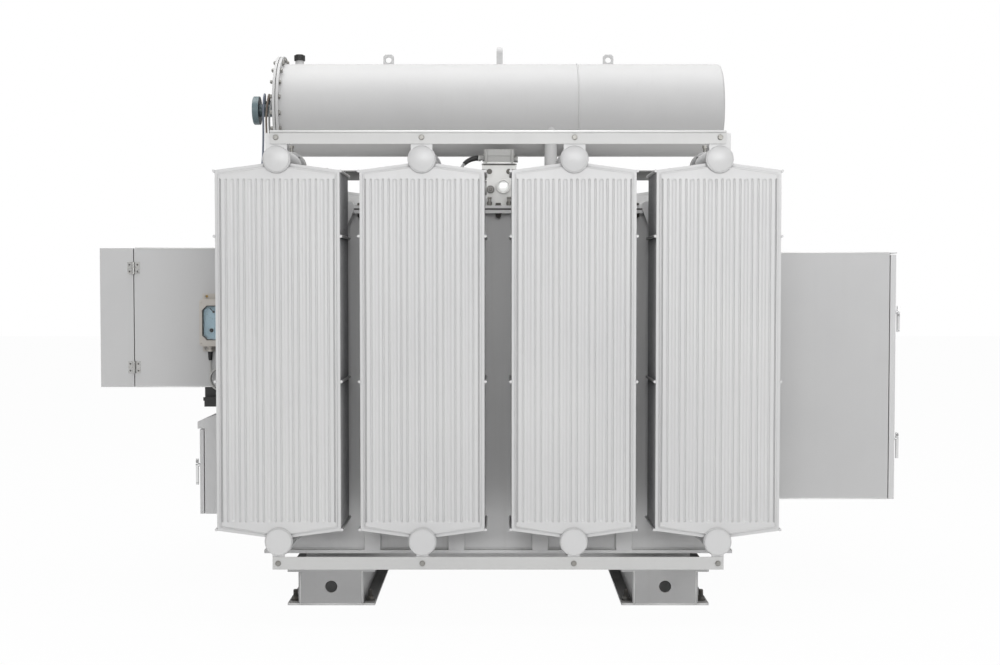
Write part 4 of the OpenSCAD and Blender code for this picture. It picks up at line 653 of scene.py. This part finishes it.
def settled(path, rounds):
    """The path in equal steps, with its corners eased into bends and both of its ends kept."""
    reach = [0.0]
    for a, b in zip(path, path[1:]):
        reach.append(reach[-1] + (b - a).length)
    count = round(reach[-1] / CABLE_STEP)
    even, k = [], 0
    for j in range(count + 1):
        at = reach[-1] * j / count
        while k < len(path) - 2 and reach[k + 1] < at:
            k += 1
        share = (at - reach[k]) / max(reach[k + 1] - reach[k], 1e-9)
        even.append(path[k].lerp(path[k + 1], min(share, 1.0)))
    for _ in range(rounds):
        inner = [(a + 2 * b + c) / 4 for a, b, c in zip(even[1:], even[2:], even[3:])]
        even = even[:2] + inner + even[-2:]
    return even


def way_to_gland(k, z):
    """The row down the tank's end wall and round to a gland of the marshalling box, in place k."""
    y = RUN_Y + ROW * k
    return [(RUN_OUT, y, 1794), (RUN_OUT, y, 1724), (RUN_X - 6, y, 1644), (RUN_X, y, 1594),
            (RUN_X, y, 1300), (RUN_X, y, 900), (RUN_X, y, z + 60), (RUN_X - 20, y, z + 15),
            (RUN_X - 44, y + 10, z), (RUN_X - 48, -440, z), (RUN_X - 48, -424.8, z)]


def relay_path():
    start = [(-95.8, -170, 2034), (-112, -170, 2034), (-130, -171, 2031), (-172, -186, 1998),
             (-205, -228, 1900), (-240, -256, 1824), (-340, -290, 1796), (-600, -380, 1796),
             (-880, -392, 1796), (-1020, -430, 1804)]
    return settled(smooth_path(start + way_to_gland(3, RELAY_ENTRY)), 12)


def gauge_path(k):
    """Strand k of the bundle: out of the gauge, over in an arch and down the conservator's end."""
    x, top = -1139 + 22 * k, 2326.8
    low_x, mid_x = -1136 + 16 * k, -1138 + 17 * k
    start = [(x, 0, top), (x, 0, top + 8), (x + 1, -5, top + 24),
             (x + 4, -24 - 4 * k, top + 37 - 5 * k), (x + 5, -45 - 6 * k, top + 28 - 4 * k),
             (x + 4, -62 - 8 * k, top + 2), (low_x, -74 - 10 * k, 2240), (low_x, -74, 2140),
             (mid_x, -100, 2010), (mid_x, -260, 1930), (low_x, -400, 1880)]
    return settled(smooth_path(start + way_to_gland(k, GAUGE_ENTRIES[k])), 9)


def thermometer_path():
    """Down from the gland, three turns of a small coil, then up the end wall to the cover's pocket."""
    gland_x, coil_x, coil_y, coil_z, coil_r = -1325, -1270, -434, 999.5, 55
    down = smooth_path([(gland_x, coil_y, 1124.5), (gland_x, coil_y, 1089.5), (gland_x, coil_y, 1059.5)])
    turns = [tank_point(coil_x + coil_r * math.cos(math.radians(a)), coil_y - (a - 180) / 40,
                        coil_z + coil_r * math.sin(math.radians(a))) for a in range(180, 1381, 10)]
    y = RUN_Y + ROW * 4
    up = smooth_path([(-1200, -466, 960), (-1110, y, 1000), (RUN_X, y, 1120), (RUN_X, y, 1594),
                      (RUN_X - 6, y, 1644), (RUN_OUT, y, 1724), (RUN_OUT, y, 1794), (-1056, -410, 1844),
                      (-1041, -394, 1878), (-1024.6, -376.4, 1890), (-1008.7, -359.4, 1881),
                      (-1001.3, -351, 1863), (-1000, -350, 1844.8)])
    return settled(down + turns + up, 6)


def add_cable(name, node, path, radius, finish):
    """A cable from one gland to another, in place of its CAD node."""
    piece = add_bars(name, [path], radius, finish)
    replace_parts(piece, node)


def add_boot(name, path, radius, length):
    """A rubber boot that narrows along the first stretch of a cable."""
    near = [q for q in path if (q - path[0]).length < length]
    sizes = [radius * (1.8 - 0.5 * k / (len(near) - 1)) for k in range(len(near))]
    add_part(name, lambda bm: add_tube(bm, near, sizes, 14), "boot_rubber")


def make_cables():
    add_cable("relay_lead", "relay_cable", relay_path(), 0.007, "grey_sheath")
    for k, sheath in enumerate(("blue_sheath", "brown_sheath", "grey_sheath")):
        add_cable("gauge_lead_%d" % (k + 1), "gauge_cables", gauge_path(k), 0.005, sheath)
    add_cable("thermometer_lead", "thermometer_cable", thermometer_path(), 0.004, "pale_sheath")
    add_boot("relay_lead_boot", relay_path(), 0.0075, 0.078)
    add_boot("thermometer_lead_boot", thermometer_path(), 0.0065, 0.040)


# Fasteners

LEVEL = Euler((0, 0, 0))


def hex_ring(across, z, limit, count=24):
    """A ring on a hexagon bar, cut back to the limit radius where its corners are turned off."""
    ring = []
    for k in range(count):
        angle = k * math.tau / count
        off = (angle + math.pi / 6) % (math.pi / 3) - math.pi / 6
        radius = min(across / 2 / math.cos(off), limit)
        ring.append(Vector((radius * math.cos(angle), radius * math.sin(angle), z)))
    return ring


def add_hex(bm, across, z0, z1, both=False):
    """A hexagon head or nut with its corners turned off on top, or on both sides."""
    cut, full, flat = across * 0.06, across / math.sqrt(3), across * 0.485
    rings = [hex_ring(across, z0, full)]
    if both:
        rings = [hex_ring(across, z0, flat), hex_ring(across, z0 + cut, full)]
    rings += [hex_ring(across, z1 - cut, full), hex_ring(across, z1, flat), round_ring(across * 0.40, z1)]
    add_rings(bm, rings)


def add_washer(bm, inner, outer, z0, z1):
    edge = (z1 - z0) * 0.3
    add_rings(bm, [round_ring(outer - edge, z0), round_ring(outer, z0 + edge),
                   round_ring(outer, z1 - edge), round_ring(outer - edge, z1), round_ring(inner, z1)])


def add_thread(bm, radius, pitch, z0, z1):
    """A threaded end: crests and roots in rings, with a turned point."""
    rings = [round_ring(radius * 0.86, z0, 16)]
    z = z0 + pitch * 0.5
    while z < z1 - pitch:
        rings.append(round_ring(radius, z, 16))
        rings.append(round_ring(radius * 0.87, z + pitch * 0.5, 16))
        z += pitch
    rings.append(round_ring(radius * 0.8, z1, 16))
    add_rings(bm, rings)


def make_bolt_mesh(name, d, grip, washer_out=1.0, tail=1.2):
    """A bolt whose head sits at the origin, up along +Z, with its washers, nut and threaded end."""
    def build(bm):
        add_washer(bm, d * 0.52, d * washer_out, 0.0, d * 0.16)
        add_hex(bm, d * 1.5, d * 0.16, d * 0.80)
        add_washer(bm, d * 0.52, d * washer_out, -grip - d * 0.16, -grip)
        add_hex(bm, d * 1.5, -grip - d * 0.98, -grip - d * 0.16, both=True)
        add_thread(bm, d / 2, d * 0.11, -grip - d * tail, -grip - d * 0.9)
    return closed_mesh(name, build)


def add_screws(name, places, radius, finish, body="tank_body"):
    """Round-headed screws on faces that look towards the camera's side."""
    turn = Vector((0, 0, 1)).rotation_difference(Vector((0, -1, 0))).to_euler()
    profile = ((radius, -0.0004), (radius, radius * 0.25), (radius * 0.8, radius * 0.55),
               (radius * 0.4, radius * 0.68), (radius * 0.3, radius * 0.35))
    head = closed_mesh(name + "_head", lambda bm: add_rings(bm, [round_ring(r, z, 20) for r, z in profile]))
    scatter(name, head, [(*q, turn) for q in places], finish, body)


def side_run(half, steps):
    """Equal steps along a side, starting at its low end."""
    return [-half + k * 2 * half / steps for k in range(steps)]


def make_bolts():
    """The source's plain fasteners, replaced by ones with washers, nuts and threads."""
    along, across = side_run(RIM_HALF_L, 24), side_run(RIM_HALF_W, 13)
    rim = [(x, -RIM_HALF_W) for x in along] + [(-x, RIM_HALF_W) for x in along]
    rim += [(RIM_HALF_L, y) for y in across] + [(-RIM_HALF_L, -y) for y in across]
    places = [(TANK_X + x, y, LID_TOP, LEVEL) for x, y in rim]
    # Their dark steel is partly painted shade under the rim and partly grease
    bolt = make_bolt_mesh("rim_bolt", d=0.016, grip=0.034)
    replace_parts(scatter("rim_bolts", bolt, places, "dull_steel"), "cover_bolts")

    places = []
    for k in range(END_BOLT_COUNT):
        angle = (k + 0.5) * math.tau / END_BOLT_COUNT
        turn = (Matrix.Rotation(angle, 3, "X") @ Matrix.Rotation(math.pi / 2, 3, "Y")).to_euler()
        places.append((CONSERVATOR_LEFT + 0.012, -END_BOLT_R * math.sin(angle),
                       CONSERVATOR_Z + END_BOLT_R * math.cos(angle), turn))
    bolt = make_bolt_mesh("end_cover_bolt", d=0.012, grip=0.028)
    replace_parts(scatter("end_cover_bolts", bolt, places, "zinc_steel"), "conservator_flange_bolts")

    places = [(x, side * RAIL_FACE_Y, z, Euler((-side * math.pi / 2, 0, 0)))
              for x in BANK_XS for side in BOTH for z in RAIL_ZS]
    bolt = make_bolt_mesh("brace_bolt", d=0.012, grip=0.014)
    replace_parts(scatter("brace_bolts", bolt, places, "zinc_steel"), "rail_bolts")

    def stud(bm):
        add_washer(bm, 0.0105, 0.020, 0.010, 0.013)
        add_hex(bm, 0.030, 0.013, 0.029, both=True)
        add_thread(bm, 0.010, 0.0025, 0.0005, 0.0585)
    places = [(TANK_X + side * SKID_X + hand * STUD_X, end * STUD_Y, 0, LEVEL)
              for side in BOTH for hand in BOTH for end in BOTH]
    bolt = closed_mesh("anchor_stud", stud)
    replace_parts(scatter("anchor_studs", bolt, places, "dull_steel"), "anchor_bolts")


# Radiators and their rails

def panel_rim(x, side, inset=0.018, rise=0.035):
    """The pressed line that runs round a front panel, just inside its welded seam."""
    half, low, high = PANEL_HALF_W - inset, PANEL_LOW + inset, PANEL_HIGH - inset
    corners = [(-half, low), (0, low - rise), (half, low), (half, high), (0, high + rise), (-half, high)]
    return [Vector((x + px, side * (FIRST_PANEL_Y - 0.0006), pz)) for px, pz in corners + corners[:1]]


def make_radiator_details():
    banks = [(x, side) for x in BANK_XS for side in BOTH]
    cap_r, cap_y, collar_r, collar_y = 0.0535, 1.0400, 0.0560, 1.0275
    add_bars("panel_rims", [panel_rim(x, side) for x, side in banks], 0.0026, "radiator_enamel",
             sides=8)

    def domes(bm):
        ball, rise, steps = 0.149, 0.010, 7
        for x, side in banks:
            rings = []
            for k in range(steps):
                radius = cap_r * math.cos(k / (steps - 1) * math.pi / 2 * 0.97)
                out = rise - (ball - math.sqrt(ball ** 2 - radius ** 2))
                rings.append([Vector((x + p.x, side * (cap_y - 0.0001 + out), HEADER_HIGH + p.y))
                              for p in round_ring(radius, 0, 40)])
            add_rings(bm, rings)
    add_part("upper_cap_domes", domes, "radiator_enamel")

    rings = [circle_path((x, side * cap_y, HEADER_LOW), cap_r, "Y") for x, side in banks]
    add_bars("lower_cap_rims", rings, 0.0014, "radiator_enamel", sides=6)
    rings = [circle_path((x, side * collar_y, z), collar_r, "Y", 40)
             for x, side in banks for z in (HEADER_LOW, HEADER_HIGH)]
    weld("header_welds", rings, 0.003, "radiator_enamel")


def make_rail_corners():
    """The rolled upper edge of each top rail, which catches the light from above; its lighter enamel is a
    painted highlight.
    """
    half, y, z = 0.944, RAIL_FACE_Y + 0.004, 2.0665
    paths = [bar((TANK_X - half, side * y, z), (TANK_X + half, side * y, z)) for side in BOTH]
    add_bars("rail_corners", paths, 0.0048, "edge_highlight_enamel", sides=16)


# Weld beads and rolled edges

def make_conservator_details():
    seam_x, flange_x = TANK_X + 0.381, CONSERVATOR_LEFT + 0.0135
    rings = [circle_path((seam_x, 0, CONSERVATOR_Z), CONSERVATOR_R + 0.0003, "X", 96),
             circle_path((flange_x, 0, CONSERVATOR_Z), CONSERVATOR_R + 0.001, "X", 96)]
    weld("conservator_welds", rings, 0.0032, "conservator_enamel", 0.010)
    neck_x, neck_z, neck_r = -969, 2503, 20.5
    stub = [tank_point(neck_x + neck_r * math.cos(a), neck_r * math.sin(a), neck_z)
            for a in (k * math.tau / 24 for k in range(25))]
    stub[-1] = stub[0].copy()
    weld("filler_neck_weld", [stub], 0.003, "conservator_enamel")


def make_tank_welds():
    """Beads down the ribs, along the wall's foot and head, round the lower headers and on the skids."""
    rib_pitch, rib_half_w, rib_low, rib_high = 0.378, 0.035, 0.238, 1.720
    wall_half_l, wall_ends, header_r = 1.03, (0.2375, 1.7485), 0.041
    ribs = [TANK_X + k * rib_pitch + edge * rib_half_w for k in (-1.5, -0.5, 0.5, 1.5) for edge in BOTH]
    paths = []
    for y in (-WALL_Y, WALL_Y):
        paths += [bar((x, y, rib_low), (x, y, rib_high)) for x in ribs]
        paths += [bar((TANK_X - wall_half_l, y, z), (TANK_X + wall_half_l, y, z)) for z in wall_ends]
    paths += [circle_path((x, side * (WALL_Y + 0.001), HEADER_LOW), header_r, "Y", 32)
              for x in BANK_XS for side in BOTH]
    weld("tank_welds", paths, 0.004, "tank_enamel", 0.012)
    corners = [(TANK_X + side * SKID_X + hand * (SKID_HALF_W + 0.0005), end * (SKID_HALF_L + 0.0015))
               for side in BOTH for end in BOTH for hand in BOTH]
    weld("skid_welds", [bar((x, y, 0.012), (x, y, 0.148)) for x, y in corners], 0.0035, "skid_enamel")


def make_skid_ends():
    """The rolled ends of each skid's webs and lower flanges, whose lighter enamel paints them as bright
    bands of highlight.
    """
    web, toe, low, high = 0.1385, 0.194, 0.005, 0.154
    paths = []
    for middle in (TANK_X - SKID_X, TANK_X + SKID_X):
        for y in (0.0005 - SKID_HALF_L, SKID_HALF_L - 0.0005):
            for hand in BOTH:
                x = middle + hand * web
                paths.append(bar((x, y, low + 0.001), (x, y, high)))
                paths.append(bar((x, y, low), (middle + hand * toe, y, low)))
            paths.append(bar((middle - web + 0.0005, y, low), (middle + web - 0.0005, y, low)))
    add_bars("skid_end_edges", paths, 0.0045, "edge_highlight_enamel", sides=12)


# Cabinets

def flat_loop(x, half_y, z0, z1):
    """A rectangle round a cabinet's opening, square to the X axis."""
    return [Vector((x, y, z)) for y, z in ((-half_y, z0), (half_y, z0), (half_y, z1), (-half_y, z1),
                                            (-half_y, z0))]


def make_cabinet_details():
    """The folded edges of both cable boxes, the seals round their openings and the hinges' screws."""
    left_edges = [(-1.694, -1.050, z) for z in (1.6000, 0.9605)]
    right_edges = [(1.015, 1.787, z) for z in (1.5790, 0.4395)]
    fold_y, seal_y = BOX_HALF_W - 0.002, BOX_HALF_W - 0.006
    # The folds' lighter enamel is a painted highlight along each edge
    folds = [bar((start, side * fold_y, z), (end, side * fold_y, z))
             for side in BOTH for start, end, z in left_edges + right_edges]
    add_bars("cabinet_folds", folds, 0.0034, "edge_highlight_enamel", sides=12)
    seals = [flat_loop(-1.7001, seal_y, 0.965, 1.593), flat_loop(1.7910, seal_y, 0.444, 1.563)]
    add_bars("door_seals", seals, 0.0016, "boot_rubber", sides=8)
    for name, hand, body in (("left_box_leaf_screws", 1, "tank_body"),
                             ("left_cover_leaf_screws", -1, "left_cover")):
        places = [Vector((LEFT_AXIS[0] + hand * 0.0185, LEFT_AXIS[1] + 0.0052, z + up * 0.016))
                  for z in LEFT_HINGES for up in BOTH]
        add_screws(name, places, 0.0042, "dull_steel", body)


# Dials

def add_scale(bm, place, centre, radius, first, step, lengths, width):
    """Ticks round a pivot, one for each length, from the angle 'first' on; angles in degrees."""
    for k, length in enumerate(lengths):
        angle = math.radians(first + step * k)
        c, q = math.cos(angle), math.sin(angle)
        u, v = centre[0] + radius * c, centre[1] + radius * q
        tick = [(u + c * a - q * b, v + q * a + c * b)
                for a, b in ((0, -width / 2), (length, -width / 2), (length, width / 2), (0, width / 2))]
        add_plate(bm, tick, place, 0.0003)


def make_thermometer_face():
    """The octagonal dial with its two scales and set knob, the window's seal and the screws."""
    dial_x, dial_z, plate = -1307, 1257, 0.0012
    middle = tank_point(dial_x, -434.3, dial_z)

    def front(u, v, depth):
        return Vector((middle.x + u, middle.y - depth, middle.z + v))

    def on_plate(u, v, depth):
        return front(u, v, plate + depth)

    half_w, half_h, cut = 0.0466, 0.0771, 0.0197
    in_w, in_h = half_w - cut, half_h - cut
    octagon = [(-half_w, -in_h), (-in_w, -half_h), (in_w, -half_h), (half_w, -in_h),
               (half_w, in_h), (in_w, half_h), (-in_w, half_h), (-half_w, in_h)]
    add_part("thermometer_dial", lambda bm: add_plate(bm, octagon, front, plate), "dial_paint",
             smooth=False)

    def ticks(bm):
        lengths = [0.006 if k % 3 == 0 else 0.0035 for k in range(13)]
        add_scale(bm, on_plate, (0, 0.050), 0.029, 140, 20, lengths, 0.0011)
        add_scale(bm, on_plate, (-0.011, -0.035), 0.014, 150, 30, [0.0025] * 9, 0.0009)
    add_part("thermometer_marks", ticks, "black_needle", smooth=False)

    def knob(bm):
        profile = ((0.0088, plate), (0.0088, 0.006), (0.0075, 0.010), (0.0045, 0.0115), (0.0002, 0.012))
        add_rings(bm, [[front(-0.011 + p.x, -0.035 + p.y, depth) for p in round_ring(r, 0, 28)]
                       for r, depth in profile])
    add_part("thermometer_set_knob", knob, "black_moulding")

    seal = [front(u * 1.012, v * 1.008, 0.0292) for u, v in octagon + octagon[:1]]
    add_bars("thermometer_window_seal", [seal], 0.0022, "gasket_rubber", sides=6)
    corners = [tank_point(dial_x + hand * 54, -464, dial_z + up * 94) for hand in BOTH for up in BOTH]
    add_screws("thermometer_screws", corners, 0.0038, "warm_enamel")
    add_screws("bracket_screws", [tank_point(dial_x + hand * 38, -404, dial_z + 121) for hand in BOTH],
               0.0058, "brass")


def make_level_face():
    """The level gauge's round dial, its scale and the rim round its glass."""
    dial_x, glass_x, z, plate = -1174.3, -1189.5, 2280, 0.001
    middle = tank_point(dial_x, 0, z)

    def side(u, v, depth):
        return Vector((middle.x - depth, middle.y - u, middle.z + v))

    def on_plate(u, v, depth):
        return side(u, v, plate + depth)

    disc = [(p.x, p.y) for p in round_ring(0.0600, 0, 48)]
    add_part("level_dial", lambda bm: add_plate(bm, disc, side, plate), "sight_pane",
             smooth=False)

    def ticks(bm):
        lengths = [0.010 if k % 5 == 0 else 0.006 for k in range(11)]
        add_scale(bm, on_plate, (0, 0), 0.044, -30, 24, lengths, 0.0018)
    add_part("level_marks", ticks, "black_needle", smooth=False)
    rim = circle_path(tank_point(glass_x, 0, z), 0.0645, "X", 64)
    add_bars("level_gauge_bezel", [rim], 0.0035, "teal_enamel")


# Gas relay

RELAY_X, RELAY_Y = 4, -170
PANE_X, PANE_Z = RELAY_X + 118 / 6, 1896


def turned_y(bm, x, z, profile):
    """A turned piece that points at the camera; the profile is radius and y, in millimetres."""
    add_rings(bm, [[tank_point(x + p.x, y, z + p.y) for p in round_ring(r, 0, 40)] for r, y in profile])


def relay_loop(half_x, half_y, z):
    """A closed rectangle round the relay's terminal box."""
    return [tank_point(RELAY_X + a * half_x, RELAY_Y + b * half_y, z)
            for a, b in ((-1, -1), (1, -1), (1, 1), (-1, 1), (-1, -1))]


def make_relay_details():
    add_part("relay_sight_pane", lambda bm: turned_y(bm, PANE_X, PANE_Z, (
        (25.6, -223.2), (25.6, -226.0), (24.0, -227.0), (12.0, -227.8))), "sight_pane")

    def cocks(bm):
        y, lever = -229, ((-4, -3), (4, -3), (4, 3), (-4, 3))
        for x in (-42, 50):
            for r, low, high in ((7.0, 1806, 1838), (9.5, 1838, 1846), (5.0, 1798, 1806)):
                add_rings(bm, [[tank_point(x + p.x, y + p.y, z) for p in round_ring(r, 0, 20)]
                               for z in (low, high)])
            add_rings(bm, [[tank_point(x + a, y - 10 + b, z) for a, b in lever] for z in (1816, 1836)])
    add_part("relay_cocks", cocks, "zinc_steel")
    places = [tank_point(RELAY_X + hand * 62, RELAY_Y - 48, 1998 + up) for hand in BOTH for up in (24, 54)]
    add_screws("relay_lid_screws", places, 0.007, "dull_steel")
    add_bars("relay_pane_ring", [circle_path(tank_point(PANE_X, -228, PANE_Z), 0.030, "Y", 48)], 0.0028,
             "relay_enamel")
    add_bars("relay_box_foot", [relay_loop(72, 48.5, 2007)], 0.0050, "relay_enamel",
             sides=12)
    add_bars("relay_box_seal", [relay_loop(73, 48.8, 1999)], 0.0026, "gasket_rubber",
             sides=8)

    def head(bm):
        add_washer(bm, 0.006, 0.0125, 0.0, 0.0022)
        add_hex(bm, 0.0205, 0.0022, 0.0095)
    forward = Euler((math.pi / 2, 0, 0))
    places = [(*tank_point(RELAY_X + hand * 46, -217.8, 1892 + up * 75), forward)
              for hand in BOTH for up in BOTH]
    scatter("relay_face_bolts", closed_mesh("relay_face_bolt", head), places, "dull_steel")
    places = [(*tank_point(RELAY_X + hand * 76.5, RELAY_Y + end * 41, 1998), LEVEL)
              for hand in BOTH for end in BOTH]
    scatter("relay_plate_bolts", make_bolt_mesh("relay_plate_bolt", 0.008, 0.020, 0.9, 1.3), places,
            "zinc_steel")
    add_part("relay_test_knob", lambda bm: turned_y(bm, -37, 1882, (
        (17.6, -219), (17.6, -231.6), (16.2, -232.8), (13.0, -232.8), (12.4, -231.9), (9.8, -231.9),
        (9.6, -239.8), (8.4, -241.0), (3.0, -241.0), (2.6, -239.6), (0.2, -239.6))),
        "dull_steel")


bpy.context.scene.view_settings.view_transform = "Standard"
set_camera()
set_world()
add_softbox("front_softbox", (0.9, -9.0, 3.7), (0, 0, 1.2), (6.5, 3.0), 405)
add_softbox("overhead_softbox", (0, -0.4, 6.5), (0, -0.2, 1.0), (7.0, 4.0), 285)
set_floor()
make_cables()
dress_nodes()
make_bolts()
make_radiator_details()
make_rail_corners()
make_conservator_details()
make_tank_welds()
make_skid_ends()
make_cabinet_details()
make_thermometer_face()
make_level_face()
make_relay_details()
